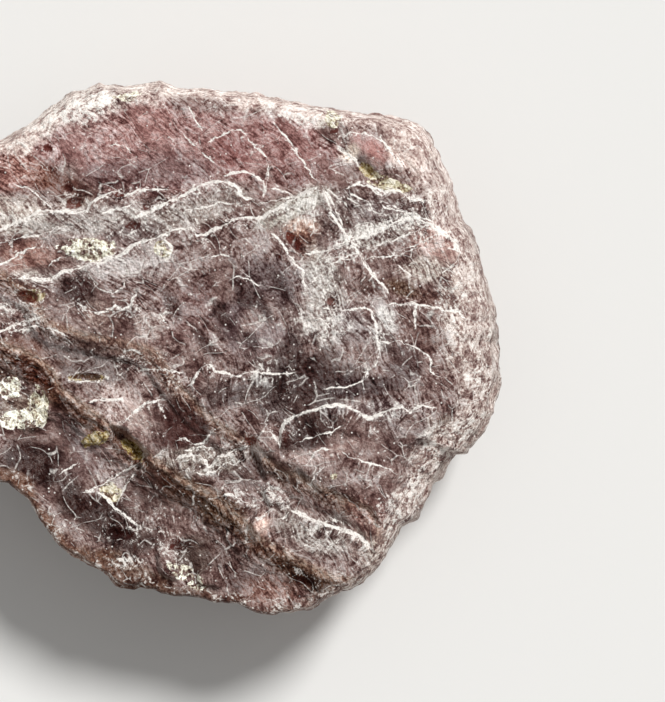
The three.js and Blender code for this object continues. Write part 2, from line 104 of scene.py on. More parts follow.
# Edges of the sheets on the broad face, each from beyond the left side to beyond the right one.
GREAT_LEDGE = [
    (-14, 33.6), (0, 34.3), (2.5, 35.3), (4.5, 36.4), (5.5, 37.6), (6.0, 38.8), (7.5, 39.8),
    (9.0, 41.0), (10.5, 42.1), (12.0, 43.1), (13.5, 44.3), (15.0, 45.5), (16.5, 46.6),
    (18.0, 47.6), (19.5, 48.5), (21.0, 49.3), (22.2, 50.3), (23.5, 51.5), (24.8, 52.6),
    (25.5, 53.5), (27.0, 54.3), (28.5, 55.2), (30.0, 56.0), (31.2, 56.7), (32.5, 57.3),
    (34.5, 57.9), (36.5, 58.2), (46, 58.6),
]
UPPER_LEDGE = [
    (-14, 26.4), (0, 27.2), (1.5, 28.2), (3.5, 29.2), (3.8, 30.5), (4.5, 31.8), (5.8, 32.7),
    (7.5, 33.1), (9.0, 33.4), (11.0, 33.8), (13.0, 34.1), (14.5, 34.5), (15.7, 35.2),
    (16.5, 36.2), (17.3, 37.3), (18.0, 38.5), (19.0, 39.7), (20.0, 40.7), (21.2, 41.7),
    (22.5, 42.7), (24.0, 43.6), (25.2, 44.0), (26.2, 45.2), (27.2, 46.2), (28.5, 47.0),
    (29.8, 47.4), (31.2, 48.4), (32.5, 49.0), (34.0, 49.6), (35.5, 50.1), (36.8, 50.7),
    (37.6, 51.8), (38.1, 53.0), (38.5, 54.5), (40, 57), (48, 60),
]
BAND_SCALES = [
    (-14, 27.5), (0, 33.0), (3.5, 35.0), (8.5, 40.2), (12.0, 39.9), (13.5, 41.2), (15.5, 40.1),
    (17.2, 46.0), (18.5, 45.6), (20.0, 45.5), (20.8, 46.8), (21.8, 45.7), (23.5, 45.0),
    (25.2, 44.6), (26.5, 47.5), (27.4, 52.0), (28.5, 51.8), (29.0, 51.0), (31.0, 51.9),
    (32.5, 52.5), (34.0, 53.0), (35.2, 53.3), (36.2, 53.8), (37.3, 55.2), (40, 58), (48, 61),
]
ROSE_EDGE = [
    (-14, 24.0), (0, 22.9), (1.7, 22.2), (3.0, 21.5), (4.5, 21.0), (6.0, 20.9), (7.5, 21.3),
    (8.5, 21.1), (9.2, 20.2), (10.0, 19.7), (11.0, 19.2), (12.5, 19.4), (14.0, 19.0),
    (16.5, 18.8), (18.5, 19.3), (20.0, 18.5), (21.2, 18.1), (22.2, 18.0), (24.0, 17.2),
    (25.5, 17.5), (26.4, 18.3), (28.0, 18.9), (29.7, 19.4), (30.8, 18.9), (32.0, 18.5),
    (34.0, 18.4), (35.8, 18.2), (37.5, 18.7), (40.0, 19.0), (40.8, 19.8), (43.0, 20.0),
    (46, 20.5), (54, 20.5),
]
GREY_EDGE = [
    (-14, 26.0), (0, 26.6), (1.5, 27.6), (3.0, 27.9), (5.0, 28.0), (6.0, 27.2), (7.5, 26.9),
    (8.5, 26.6), (9.2, 26.1), (10.0, 26.4), (11.2, 25.8), (12.5, 25.2), (14.0, 24.2),
    (15.5, 23.8), (17.2, 23.0), (19.0, 22.8), (19.7, 23.5), (20.5, 23.5), (22.2, 22.5),
    (23.2, 21.9), (24.3, 21.6), (26.2, 21.8), (28.0, 20.8), (30.0, 19.5), (31.8, 18.6),
    (32.2, 18.8), (33.0, 20.5), (33.8, 22.4), (34.5, 23.3), (35.7, 25.0), (36.4, 26.3),
    (37.2, 27.5), (38.3, 28.5), (39.2, 29.8), (41.0, 30.2), (43.0, 30.6), (45.5, 31.6),
    (47.2, 32.6), (54, 34),
]
MIDDLE_EDGE = [
    (-14, 60), (10, 60), (17.0, 40.0), (18.5, 38.6), (19.2, 38.4), (19.6, 37.5), (20.0, 36.8),
    (21.0, 36.5), (21.5, 37.1), (23.5, 37.6), (24.8, 37.2), (28.5, 37.4), (30.0, 37.0),
    (32.0, 38.9), (35.2, 38.6), (36.6, 37.8), (38.0, 37.2), (41.0, 38.4), (44.0, 37.6),
    (46, 38), (54, 38),
]
LONG_SCALE_EDGE = [
    (-14, 62), (12, 62), (24.5, 46), (25.7, 44.2), (26.2, 43.2), (27.0, 43.0), (27.5, 43.7),
    (27.9, 45.0), (28.0, 44.0), (28.1, 43.0), (28.5, 42.2), (29.5, 41.6), (30.5, 41.3),
    (31.5, 41.0), (32.5, 40.6), (33.5, 40.5), (35.0, 40.7), (35.8, 41.1), (36.5, 41.7),
    (37.2, 41.8), (38.0, 41.4), (39.0, 40.9), (40.0, 40.6), (40.7, 40.9), (41.0, 41.2),
    (41.5, 40.8), (42.2, 40.5), (43.0, 40.7), (43.8, 40.8), (46, 41.2), (54, 41.2),
]
BAND_FOOT = [(x - 1.2, y + 1.7) for x, y in UPPER_LEDGE]
FAR_ABOVE = [(60, -10), (-20, -10)]
FAR_BELOW = [(60, 80), (-20, 80)]

# What has come off: region, depth below the highest sheet, the edge's drop and its width.
MISSING_SHEETS = [
    (LONG_SCALE_EDGE + FAR_ABOVE, 0.25, 0.25, 0.2),
    (MIDDLE_EDGE + FAR_ABOVE, 0.5, 0.25, 0.25),
    (GREY_EDGE + FAR_ABOVE, 0.9, 0.4, 0.3),
    (ROSE_EDGE + FAR_ABOVE, 1.3, 0.4, 0.3),
    (UPPER_LEDGE + FAR_BELOW, 1.4, 0.9, 2.2),
    (BAND_SCALES + BAND_FOOT[::-1], 1.75, 0.35, 0.3),
    (GREAT_LEDGE + FAR_BELOW, 3.2, 1.7, 3.4),
    ([(9.4, 49.0), (10.5, 48.0), (13.8, 46.6), (12.6, 48.5), (11.4, 50.6)], 3.7, 0.5, 0.5),
    ([(11.0, 42.6), (12.4, 43.0), (14.8, 45.4), (13.6, 46.4), (12.9, 45.0), (11.3, 44.2)], 3.8, 1.2, 0.8),
    ([(35.0, 15.2), (36.6, 16.1), (38.5, 17.8), (40.2, 18.6), (38.0, 18.8), (36.4, 17.6)], 1.9, 0.6, 0.5),
]

# Shallow recesses in the back, where sheets came off it: region, depth.
BACK_RECESSES = [
    (
        [
            (60, 26), (60, 66), (26, 66), (28.5, 58), (27.8, 53), (30.5, 49.5), (31, 45), (34.5, 42),
            (35, 37.5), (38.5, 35), (43, 33),
        ],
        0.9,
    ),
    (
        [
            (-14, 4), (14, 4), (12.2, 9), (9.5, 12), (10.2, 15.5), (7, 18), (4.6, 21.6), (1, 22.4),
            (-2, 26), (-14, 28),
        ],
        1.3,
    ),
]

# The broad face's gentle waves: height, length, turn, phase.
WAVES = [(0.26, 41, 0.5, 0.6), (0.18, 26, 2.2, 2.0), (0.1, 14, 1.2, 4.4)]
FACE_TILT = (0.01, -0.008)

# White crests of thin scales, partly the frosty white of their broken edges and partly a painted
# highlight where those edges face the key light. Drawn left to right with the scale's high side
# below them: half width, lift of the edge, frost on the scale behind it, how far fibres fan out
# from it square to its line, and the points.
CRESTS = [
    (0.15, 0.10, 0.5, 0, [(-6, 25), (0, 22.9), (1.7, 22.2), (3, 21.5), (4.5, 21), (6, 21.1), (7.5, 21.3),
        (8.5, 21.1), (9.2, 20.2), (10, 19.7), (11, 19.2), (11.7, 19.1), (12.5, 19.4),
        (13.5, 19.1), (15, 18.9), (16.5, 18.9), (17.2, 19)]),
    (0.17, 0.12, 0.7, 0, [(13, 21.9), (14, 21.5), (15, 21.1), (16, 20.5), (17.2, 20), (18, 19.7), (19, 19),
        (20, 18.5), (21.2, 18.1), (22.2, 18.1), (23.2, 18.4), (23.8, 18.8), (24, 19.5),
        (24.5, 19.8), (25.5, 19.9)]),
    (0.13, 0.06, 0.2, 0, [(22, 17.6), (23.5, 17.2), (24.5, 17.1), (25.5, 17.5), (26.3, 18.1), (26.5, 19),
        (26.2, 20)]),
    (0.17, 0.14, 0.5, 0, [(1.5, 27.7), (2.5, 27.8), (4, 28), (5, 28), (6, 27.2), (7.5, 26.9), (8.5, 26.6),
        (9.2, 26.1), (10, 26.4), (11.2, 25.8), (12.5, 25.2), (13, 24.7), (14, 24.2),
        (15.5, 23.8), (16.5, 23.4), (17.2, 23), (19, 22.8), (19.7, 23.5), (20.5, 23.5),
        (21.2, 23.1), (22.2, 22.6), (23.2, 22), (24.3, 21.7), (25.5, 21.8), (26.2, 21.8),
        (27, 21.2), (28, 20.8), (29, 20.1), (30, 19.5), (31, 18.9), (31.8, 18.6),
        (32.2, 18.4)]),
    (0.10, 0.05, 0.3, 0, [(28.2, 21.3), (29.2, 20.6), (30.2, 20), (31.5, 19.6)]),
    (0.12, 0.12, 0.3, 0, [(32.2, 18.7), (32.7, 20), (33.1, 21.3), (33.8, 22.4), (34.5, 23.3), (35, 24),
        (35.7, 25), (36.3, 26.2), (37.2, 27.5), (38.3, 28.5), (39.2, 29.8)]),
    (0.09, 0.05, 0.1, 0, [(32.3, 18.6), (33.5, 19.5), (34.5, 20.3), (35, 20.8)]),
    (0.10, 0.06, 0.2, 0, [(34.5, 19), (35.7, 19.6), (36.7, 20.1), (37.3, 21.2), (37.6, 21.4)]),
    (0.12, 0.08, 0.3, 0, [(35.2, 18.3), (36.2, 18.4), (37.5, 18.8), (38.5, 19.2), (40, 19.1), (40.7, 19.8),
        (41.2, 20), (43, 20)]),
    (0.13, 0.10, 0.4, 0, [(38, 20.3), (38.5, 20.7), (39.5, 20.9), (41, 21.3), (42.5, 21.9), (43.2, 22.2),
        (44.5, 23.2), (45.5, 24)]),
    (0.2, 0.08, 0.95, 0, [(33, 24.6), (35, 24.1), (36.6, 23.5), (38.6, 22.7), (40, 22.1), (41.5, 21.7),
        (43.1, 22.5), (44.6, 23.5), (45.9, 24.1), (46, 25.4)]),
    (0.13, 0.04, 0.4, 0, [(30.3, 25.4), (31.6, 25.2), (33.4, 24.9), (34.8, 24.6)]),
    (0.12, 0.03, 0.5, 0, [(31.8, 18.9), (31.5, 20.4), (31.4, 22.2), (31.1, 23.9)]),
    (0.1, 0.03, 0.2, 0, [(32.4, 18.8), (33.2, 20.2), (34, 21.8), (34.4, 23)]),
    (0.1, 0.03, 0.2, 0, [(38.8, 20.4), (40.2, 20.9), (41.4, 21.5)]),
    (0.09, 0.03, 0.3, 0, [(37.1, 24.8), (39.2, 24.0), (41, 23.3), (42.6, 22.8)]),
    (0.08, 0.02, 0.2, 0, [(39.6, 25.2), (41, 24.7), (42.2, 24.2)]),
    (0.08, 0.03, 0.2, 0, [(34.9, 23.8), (36.2, 25.6), (37.4, 27.4), (38.6, 29.1)]),
    (0.13, 0.04, 0.5, 0, [(34.4, 18.9), (35.6, 18.3), (36.9, 18.6), (38.2, 19.5), (39.3, 19.1)]),
    (0.11, 0.03, 0.3, 0, [(38.5, 30.5), (41.5, 30.4), (45.9, 31.2), (47, 32.3)]),
    (0.08, 0.04, 0.1, 0, [(36.8, 25.6), (39, 25.7), (40, 25.6), (41, 25), (42, 24.6)]),
    (0.08, 0.04, 0.5, 0, [(33.5, 26.2), (35, 25.5), (36, 25.2)]),
    (0.11, 0.12, 0.3, 0, [(26.8, 23.2), (27.8, 23.9), (28.5, 24.7), (29, 25.7), (29.5, 26.4), (30.2, 27),
        (30.3, 28), (30.5, 28.6), (31.3, 28.1), (32, 28)]),
    (0.10, 0.07, 0.2, 0, [(32, 30.8), (34.5, 31), (36.5, 30.7), (37, 31), (37.5, 32), (37.7, 33.5),
        (37.9, 35), (37.8, 35.8), (37.3, 37)]),
    (0.09, 0.07, 0.1, 0, [(37.8, 34), (39, 34.3), (39.7, 34), (41, 34.5), (42, 35), (42.8, 35.5),
        (43.1, 36.2), (43, 37.2), (44, 37.6), (44.7, 37.9)]),
    (0.11, 0.06, 0.1, 0, [(38.5, 30.5), (40, 30.4), (41.3, 30.2), (41.6, 30.5), (41.4, 31.8), (41.6, 32.5),
        (41.4, 33.2)]),
    (0.11, 0.08, 0.3, 2.0, [(18.5, 38.6), (19.2, 38.4), (19.6, 37.5), (20, 36.8), (21, 36.5), (21.5, 37.1),
        (22.2, 37.2), (23, 37.5), (23.8, 37.6), (24.8, 37.2), (25.8, 37.2), (27, 37.3),
        (28.5, 37.4), (29.3, 37.3), (30, 37)]),
    (0.08, 0.05, 0.1, 0, [(32, 39), (35, 38.6), (36.5, 38), (36.8, 37.2), (36, 37)]),
    (0.15, 0.16, 0.3, 4.5, LONG_SCALE_EDGE[7:-2]),
    (0.11, 0.10, 0.3, 0, [(25.7, 43.8), (26.2, 43.2), (27, 43), (27.5, 43.7), (27.8, 44.7)]),
    (0.14, 0.12, 0.4, 2.0, [(17.2, 46), (18.5, 45.6), (20, 45.5), (20.5, 46.2), (20.8, 46.8), (21.4, 46.5),
        (21.8, 45.7), (22.8, 45.5), (23.5, 45), (24.5, 44.7), (25.2, 44.6)]),
    (0.16, 0.14, 0.5, 1.4, [(28.8, 51), (30, 51.4), (31, 51.9), (32.5, 52.5), (34, 53), (35.2, 53.3),
        (36.2, 53.8), (36.8, 54.5), (37.3, 55.2)]),
    (0.08, 0.06, 0.1, 0, [(30.2, 46.6), (31, 46.2), (31.5, 45.3), (32.2, 44.8), (33.3, 45)]),
    (0.09, 0.06, 0.1, 0, [(30.5, 48), (31, 48.5), (31.5, 47.5), (32.2, 46.8), (33.3, 46.3)]),
    (0.11, 0.10, 0.3, 2.0, [(34, 45.1), (35, 45.7), (36.5, 46.2), (38, 46.5), (39, 47), (40, 47.5)]),
    (0.12, 0.10, 0.6, 0, [(22, 49.7), (22.8, 49.4), (24, 50), (25, 50.5), (25.3, 50.8)]),
    (0.10, 0.08, 0.2, 0, [(25, 51.7), (26, 52), (26.8, 51.1), (27.5, 50.9)]),
    (0.10, 0.08, 0.2, 0, [(27.4, 52), (28.5, 51.8), (29, 51)]),
    (0.15, 0.10, 0.4, 0, [(8.5, 40.2), (10, 40), (12, 39.9), (12.3, 40.5)]),
    (0.12, 0.08, 0.5, 2.5, [(12.2, 42.3), (13.5, 41.2), (14.5, 40.3), (15.5, 40.1), (16.8, 39.9)]),
    (0.12, 0.10, 0.2, 0, [(7.8, 49.4), (9, 49.2), (9.7, 48.7), (11, 47.9), (12, 47.3), (13, 46.8),
        (13.8, 46.4)]),
    (0.12, 0.08, 0.2, 0, [(9.4, 49.1), (10.5, 49.9), (11.2, 50.8), (12.5, 51.9), (14, 52.8)]),
    (0.11, 0.05, 0.1, 0, [(11.4, 50.8), (12, 49.5), (12.7, 48.2), (13.5, 47.3)]),
    (0.09, 0.06, 0.1, 0, [(5.5, 47.7), (6.5, 47), (7.4, 46.5), (7.8, 45.8)]),
    (0.11, 0.10, 0.3, 0, [(7.5, 30), (8.5, 31), (9.5, 31.3), (10.5, 31.2), (11.5, 30.6), (12.2, 31),
        (13, 30.7), (13.3, 30), (13.6, 29.2), (13.8, 28.5)]),
    (0.12, 0.10, 0.4, 0, [(-5, 34.6), (0, 33.1), (1, 32.7), (2, 32.2), (3, 32), (4.5, 31.5)]),
    (0.09, 0.06, 0.3, 0, [(0.5, 33.3), (2, 32.9), (3.2, 32.5), (4.5, 32.8), (5.5, 33.1), (7, 33.8)]),
    (0.11, 0.08, 0.2, 0, [(15, 31), (16, 31.6), (16.8, 32.5)]),
    (0.10, 0.06, 0.1, 0, [(7, 38.1), (8.5, 38.1), (10, 38.3), (10.7, 38.2)]),
    (0.13, 0.08, 0.5, 0, [(13.8, 37.2), (14.5, 36.9), (16, 37), (17.5, 37.1), (18.5, 37.4)]),
    (0.09, 0.06, 0.5, 0, [(12, 35.8), (12.3, 35.2), (13.5, 35), (14.5, 35.6)]),
    (0.08, 0.04, 0.0, 0, [(20.5, 14.3), (21.5, 13.8), (22.5, 13.2), (24, 12.8), (24.7, 13.7), (25.5, 14.7),
        (26.5, 15.5), (27.2, 16)]),
    (0.09, 0.03, 0.0, 0, [(18.6, 10.3), (19.2, 11.3), (19.8, 12.4), (20.3, 13.3)]),
    (0.07, 0.02, 0.0, 0, [(18, 13), (19.2, 14.3), (20.5, 15.5), (21.7, 16.5)]),
    (0.08, 0.03, 0.0, 0, [(27, 11.8), (27.8, 12.7), (28.5, 13.5), (29.5, 15), (30.5, 16.3), (31.2, 17.5),
        (31.8, 18.3)]),
    (0.08, 0.03, 0.0, 0, [(26.7, 15.5), (26.8, 17), (26.6, 18.5), (26.2, 20)]),
    (0.12, 0.05, 0.1, 0, [(33.3, 14.3), (34.5, 15.2), (35.7, 16), (36.2, 17)]),
    (0.10, 0.06, 0.1, 0, [(34, 14), (35, 13.3), (36.5, 13.2), (38.5, 14.2), (39.3, 15.5), (39.8, 16.5)]),
    (0.08, 0.03, 0.0, 0, [(31, 19), (31.1, 21.5), (31.2, 23.5)]),
    (0.08, 0.03, 0.1, 0, [(26.5, 18.8), (28, 19), (29.5, 19.5)]),
    (0.08, 0.04, 0.1, 0, [(39.5, 26.2), (40.5, 27), (41.5, 27.7), (42.3, 27.8)]),
    (0.09, 0.06, 0.1, 0, [(44.5, 25), (45.5, 24.8), (46, 25.2), (45.8, 26.2), (45, 26.8), (44, 27.5)]),
    (0.11, 0.04, 0.0, 0, [(32.7, 51.7), (34.2, 52.3)]),
    (0.06, 0.02, 0.1, 0, [(8.9, 27.4), (9.5, 26.1), (10.9, 25.6), (12.2, 26), (12.8, 27.2), (12.4, 28.6),
        (11.2, 29.3), (9.8, 28.9), (9, 27.9)]),
    (0.1, 0.03, 0.1, 0, [(15.6, 25.2), (15.9, 24.5), (16.6, 24.2), (17.2, 24.8), (17.1, 25.6), (16.4, 25.9),
        (15.8, 25.7), (15.5, 25)]),
    (0.1, 0.04, 0.3, 0, [(-2, 26.8), (0.6, 26.2), (2.4, 25), (4, 24.6)]),
    (0.1, 0.04, 0.3, 0, [(-0.6, 24.4), (2, 23.7), (4.2, 23.4), (6, 22.6), (7.4, 22.4)]),
    (0.08, 0.03, 0.2, 0, [(4.4, 27), (5.6, 25.8), (7.2, 25.6)]),
    (0.09, 0.03, 0.2, 0, [(9.6, 21.6), (11, 21), (12.4, 20.8), (13.6, 20.2)]),
    (0.09, 0.03, 0.3, 0, [(17.6, 21.4), (19, 20.9), (20.4, 20.7), (22, 20.2), (23.6, 20.4)]),
    (0.09, 0.03, 0.3, 0, [(25.6, 20.3), (27, 20.1), (28.4, 19.8), (29.6, 19.5)]),
    (0.1, 0.06, 0.2, 0, [(17.2, 44.3), (18.4, 43.8), (19.4, 44.6), (20.4, 44.3), (21, 43.4), (21.3, 42.6)]),
    (0.12, 0.06, 0.3, 0, [(19, 47.2), (20.4, 47.5), (21.6, 47.1), (22.4, 46.3), (23.4, 46.5), (24.6, 45.7)]),
    (0.09, 0.04, 0.2, 0, [(18, 45), (19.2, 45.1), (20.2, 44.7), (21.6, 45)]),
    (0.07, 0.03, 0.1, 0, [(10.6, 14.8), (11.3, 14.3), (12.5, 14.6), (13.4, 15.4)]),
    (0.07, 0.03, 0.1, 0, [(1, 18.3), (2.2, 18.6), (3.4, 19.2), (4.6, 20.4), (5.6, 20.8)]),
    (0.08, 0.04, 0.1, 0, [(29, 44.6), (31, 43.7), (33, 43.2), (34.6, 42.4)]),
    (0.07, 0.03, 0.1, 0, [(22.5, 28.3), (23.6, 27.6), (24.8, 27.9), (26, 28.6), (27, 28.3)]),
    (0.07, 0.03, 0.1, 0, [(20.8, 25.9), (22, 25.4), (23.4, 25.8)]),
    (0.08, 0.05, 0.3, 0, [(29.3, 32.4), (30.6, 31.6), (32, 31.9), (33.4, 33)]),
    (0.07, 0.03, 0.2, 0, [(31.6, 19.2), (31.4, 20.8), (31.4, 22.4), (31.2, 23.6)]),
    (0.08, 0.04, 0.3, 0, [(34.4, 19.4), (36, 20.6), (37.4, 21.2), (38.6, 21.4)]),
    (0.08, 0.04, 0.3, 0, [(32.6, 26.6), (34.2, 26), (35.6, 25.9), (36.6, 25.2)]),
]

# Small pits: place, half sizes, turn in degrees.
PITS = [
    (4.7, 14.8, 0.5, 0.4, -40), (7.4, 20.3, 1.0, 0.6, 15), (6.8, 18.8, 0.6, 0.35, -35),
    (12.0, 19.4, 0.5, 0.4, 0), (14.6, 20.6, 0.45, 0.4, 0), (13.3, 22.5, 0.9, 0.45, 5),
    (29.4, 24.2, 1.4, 0.5, -52), (2.8, 29.6, 1.1, 0.6, -20), (8.6, 37.7, 1.4, 0.4, 0),
    (25.2, 44.1, 0.8, 0.5, 10), (11.8, 53.5, 1.2, 0.6, -8), (17.6, 54.8, 0.8, 0.45, 10),
    (30.5, 58.2, 1.1, 0.5, -12), (33.1, 30.2, 0.5, 0.4, 0), (27.9, 25.7, 0.3, 0.3, 0),
]

# Small lumps: place, half sizes along, across and up, turn in degrees.
LUMPS = [
    (26.0, 52.4, 1.2, 1.0, 0.8, -60), (16.8, 56.6, 2.0, 1.1, 0.7, -60),
    (21.0, 58.1, 1.6, 0.9, 0.7, -25), (27.4, 49.6, 1.9, 1.1, 0.6, -38),
    (9.3, 43.9, 1.6, 0.7, 0.6, 14), (8.8, 24.7, 2.9, 1.0, 0.4, -6),
    (3.4, 41.6, 1.8, 1.2, 0.6, 60), (36.9, 14.9, 3.8, 1.6, 0.38, -42),
]


def paint(red, green, blue):
    """A paint given on a 0 to 255 scale, as linear light."""
    share = np.array([red, green, blue]) / 255
    return np.where(share < 0.04045, share / 12.92, ((share + 0.055) / 1.055) ** 2.4)


# Broad patches of colour on the stone: place, half sizes, turn in degrees, paint, strength.
GREYED_MAUVE = paint(138, 117, 112)
TINT_REACH = 1.35  # how far past its own paint a patch is taken from the mauve
TINTS = [
    # Pale places on the rim, partly its own pale crust and partly painted light where the upper and
    # right rim face the key light, and first darker tones inside it.
    (8.8, 11, 4.2, 1.9, 18, (228, 219, 211), 0.9),
    (31, 11.8, 2.6, 1.0, -8, (196, 186, 178), 0.8),
    (1.5, 21.8, 4, 2.2, 0, (190, 178, 170), 0.8),
    (7.6, 20.2, 2, 1, 20, (180, 170, 162), 0.6),
    (46.5, 30, 2.6, 8, -6, (196, 182, 174), 0.7),
    (46, 43.5, 3, 3, -45, (192, 180, 172), 0.8),
    (38, 55, 3, 3, -45, (186, 174, 166), 0.8),
    (30, 45.6, 2.4, 0.7, 20, (164, 142, 136), 0.6),
    (1.5, 17.6, 3.5, 1.6, 0, (142, 106, 98), 0.8),
    (12.5, 17, 5, 1.2, -10, (136, 106, 102), 0.6),
    (27, 34, 4, 2, 20, (118, 98, 98), 0.6),
    (30.5, 28, 1.4, 1.4, 0, (116, 96, 94), 0.7),
    # The rose band along the top, deeper in places, and the browner left end of it.
    (17, 14.5, 18, 4.6, -4, (160, 128, 124), 0.9),
    (14, 12.6, 4, 2.4, 20, (166, 132, 127), 0.7),
    (23, 15.6, 2.2, 2.6, 0, (142, 102, 98), 0.8),
    (28.5, 14.5, 3.4, 3.4, -30, (154, 120, 116), 0.8),
    (29.2, 17.6, 1.8, 1.6, 0, (128, 94, 90), 0.8),
    (32.8, 17, 2.2, 1.6, 0, (134, 102, 98), 0.8),
    (17, 17, 6, 1.8, 0, (130, 106, 104), 0.7),
    (6, 18.2, 4, 1.5, -25, (112, 78, 68), 0.85), (2.6, 17, 3, 1.4, -30, (146, 108, 94), 0.7),
    (12, 17.3, 5, 1.2, 2, (114, 86, 84), 0.75),
    (1, 17, 3, 2, 0, (168, 132, 124), 0.7),
    # The grey sheets below it.
    (8, 22.3, 9, 1.6, 4, (160, 150, 145), 0.7),
    (20, 21, 6, 1.6, 25, (150, 138, 132), 0.7),
    (13, 23.3, 3, 1, 10, (112, 94, 92), 0.7),
    (29, 20.8, 4.5, 1.3, 28, (178, 172, 164), 0.7),
    (2, 25.5, 4, 2, 0, (160, 126, 116), 0.7),
    (12, 26.5, 4.6, 1.6, 5, (170, 158, 154), 0.7),
    (3.5, 27.6, 2.4, 1, 0, (180, 172, 166), 0.7),
    # The fan at the upper right.
    (30.3, 22.8, 1.7, 1.2, 10, (184, 156, 142), 0.7),
    (34.5, 21.5, 2.6, 3, -50, (138, 124, 120), 0.7),
    (38.5, 21.2, 4, 1.4, -10, (128, 114, 112), 0.7),
    (39, 23, 5, 1.4, 20, (176, 168, 162), 0.6),
    (44, 24.4, 3, 2.2, -30, (188, 160, 152), 0.7),
    (42.6, 27, 2.4, 1.6, 0, (188, 178, 170), 0.7),
    (37.3, 14.7, 2.4, 1.2, -42, (170, 132, 127), 0.9),
    (35, 15.4, 0.9, 1.2, -42, (206, 190, 178), 0.8),
    (41.5, 15, 3.4, 3, -40, (206, 188, 180), 0.8),
    (37, 28.6, 2, 1.3, 0, (104, 78, 72), 0.8),
    (40.3, 28.9, 2.4, 0.9, -20, (112, 90, 74), 0.8),
    (43.5, 30.2, 2.6, 1.4, -30, (122, 96, 88), 0.7),
    # The frosty veil and the darker mauve field in the middle.
    (32.2, 27.6, 2.2, 3.4, 0, (168, 161, 155), 0.6),
    (31.5, 32.6, 3.2, 2, 0, (172, 163, 158), 0.7),
    (35.4, 32.8, 1.6, 2, 0, (136, 122, 120), 0.7),
    (38.4, 32.4, 1.2, 2.6, 0, (176, 170, 166), 0.6),
    (26.4, 28, 3.4, 3.2, 0, (104, 87, 87), 0.8),
    (20.4, 28.8, 1.7, 1.6, 0, (104, 74, 70), 0.7),
    (7.6, 29, 2.2, 2.0, 0, (78, 50, 46), 1),
    (18, 32, 5, 3, 0, (138, 112, 108), 0.6),
    (10, 31.4, 2.4, 1.4, -20, (164, 146, 138), 0.6),
    (15, 32.3, 2.2, 1.6, 0, (166, 150, 144), 0.6),
    (23, 32.6, 2, 2.2, 0, (108, 92, 94), 0.7),
    (8, 35.6, 5, 2.6, -20, (104, 86, 82), 0.8),
    (42.5, 33.2, 3, 1.5, -35, (118, 92, 86), 0.7),
    (47.2, 37.4, 1.4, 1.8, 10, (134, 102, 94), 0.7),
    # Steep dark wine streaks.
    (24.2, 29, 2.2, 0.85, -60, (84, 60, 58), 0.95), (26.2, 30.6, 2.4, 0.85, -58, (80, 56, 54), 0.95),
    (27.8, 28, 2, 0.75, -60, (82, 60, 58), 0.95), (22.3, 31.8, 1.8, 0.75, -60, (86, 63, 60), 0.95),
    (20.6, 34.4, 2, 0.85, -50, (84, 58, 54), 0.95), (29.4, 34.6, 2, 0.85, -66, (82, 58, 56), 0.95),
    (25, 33.8, 1.6, 0.75, -56, (84, 60, 58), 0.95), (17.2, 30.6, 1.8, 0.75, -55, (92, 66, 62), 0.95),
    # The dark field across the middle and the wine disc.
    (30, 39.2, 6.8, 4.2, 5, (96, 76, 72), 0.8),
    (31, 38.3, 6.4, 2.8, 5, (75, 49, 45), 0.95),
    (36, 38.6, 4, 1.4, 0, (84, 66, 66), 0.8),
    (27.3, 41.2, 2.4, 1.6, 0, (88, 68, 66), 0.8),
    (40.3, 36.7, 2, 2.2, 0, (90, 66, 64), 0.8),
    (22.4, 39.4, 2.4, 1.6, 0, (90, 72, 70), 0.8),
    (26.4, 37, 1.4, 1.5, 0, (168, 161, 157), 0.6),
    (18, 42.8, 3.2, 3, 0, (90, 58, 54), 0.95),
    (12.5, 41.4, 3.4, 2.2, -30, (172, 152, 146), 0.8),
    (31.6, 43.4, 3.6, 1.5, 18, (74, 49, 45), 0.95),
    (31.8, 45.6, 3.8, 0.7, 20, (162, 140, 134), 0.8),
    (37.3, 41, 4, 1, 0, (156, 146, 144), 0.6),
    (40, 43.6, 3, 2.4, 0, (122, 104, 100), 0.6),
    (44.6, 42.6, 1.8, 1.8, 0, (124, 102, 92), 0.7),
    (24.6, 46.8, 3, 1.8, -10, (94, 73, 69), 0.7),
    (29, 47.2, 2.6, 1.2, -15, (88, 70, 64), 0.8),
    (32.4, 48.6, 2.4, 1.6, -30, (112, 92, 86), 0.7),
    (37, 51.6, 2, 1.7, -40, (164, 136, 130), 0.7),
    (31.5, 53.4, 4.5, 2, -20, (160, 152, 146), 0.6),
    (19.5, 46, 4.5, 1.3, 0, (162, 153, 145), 0.6),
    # Below the great ledge.
    (2, 34.8, 4, 1.1, -16, (120, 90, 80), 0.9),
    (3.3, 37.2, 3, 1.5, -35, (98, 56, 36), 0.95),
    (0, 38.2, 2, 1.6, 0, (110, 88, 76), 0.8),
    (2.6, 41.2, 2.6, 2.4, 0, (132, 118, 106), 0.6),
    (3.2, 46, 4, 2.6, -20, (71, 42, 37), 0.95),
    (6.6, 43, 1.6, 3, 30, (92, 69, 67), 0.8),
    (8.4, 46, 3, 2, 30, (124, 102, 99), 0.7),
    (9.8, 51.8, 6, 2.2, -32, (69, 41, 35), 0.95),
    (15, 48.6, 2.4, 2.4, -20, (84, 60, 55), 0.85),
    (15, 52, 2.8, 1.4, 20, (138, 120, 115), 0.5),
    (26, 52.6, 1.0, 1.2, -60, (216, 190, 180), 1),
    (18.6, 49.6, 3.4, 1.8, -30, (86, 58, 43), 0.9),
    (22.6, 51.6, 4.2, 1.8, -36, (100, 76, 58), 0.9),
    (19.4, 55.4, 1.8, 2, 0, (92, 76, 68), 0.8),
    (22.8, 55, 3, 2.4, -30, (104, 82, 77), 0.7),
    (24.3, 58.4, 2.4, 1.8, 0, (92, 64, 58), 0.8),
    (27.4, 59.6, 3, 1.8, 10, (140, 108, 98), 0.8),
    (30.6, 57.6, 3.6, 1.3, -28, (90, 64, 48), 0.9),
    (12, 57, 6, 1.4, -20, (124, 102, 86), 0.7),
]
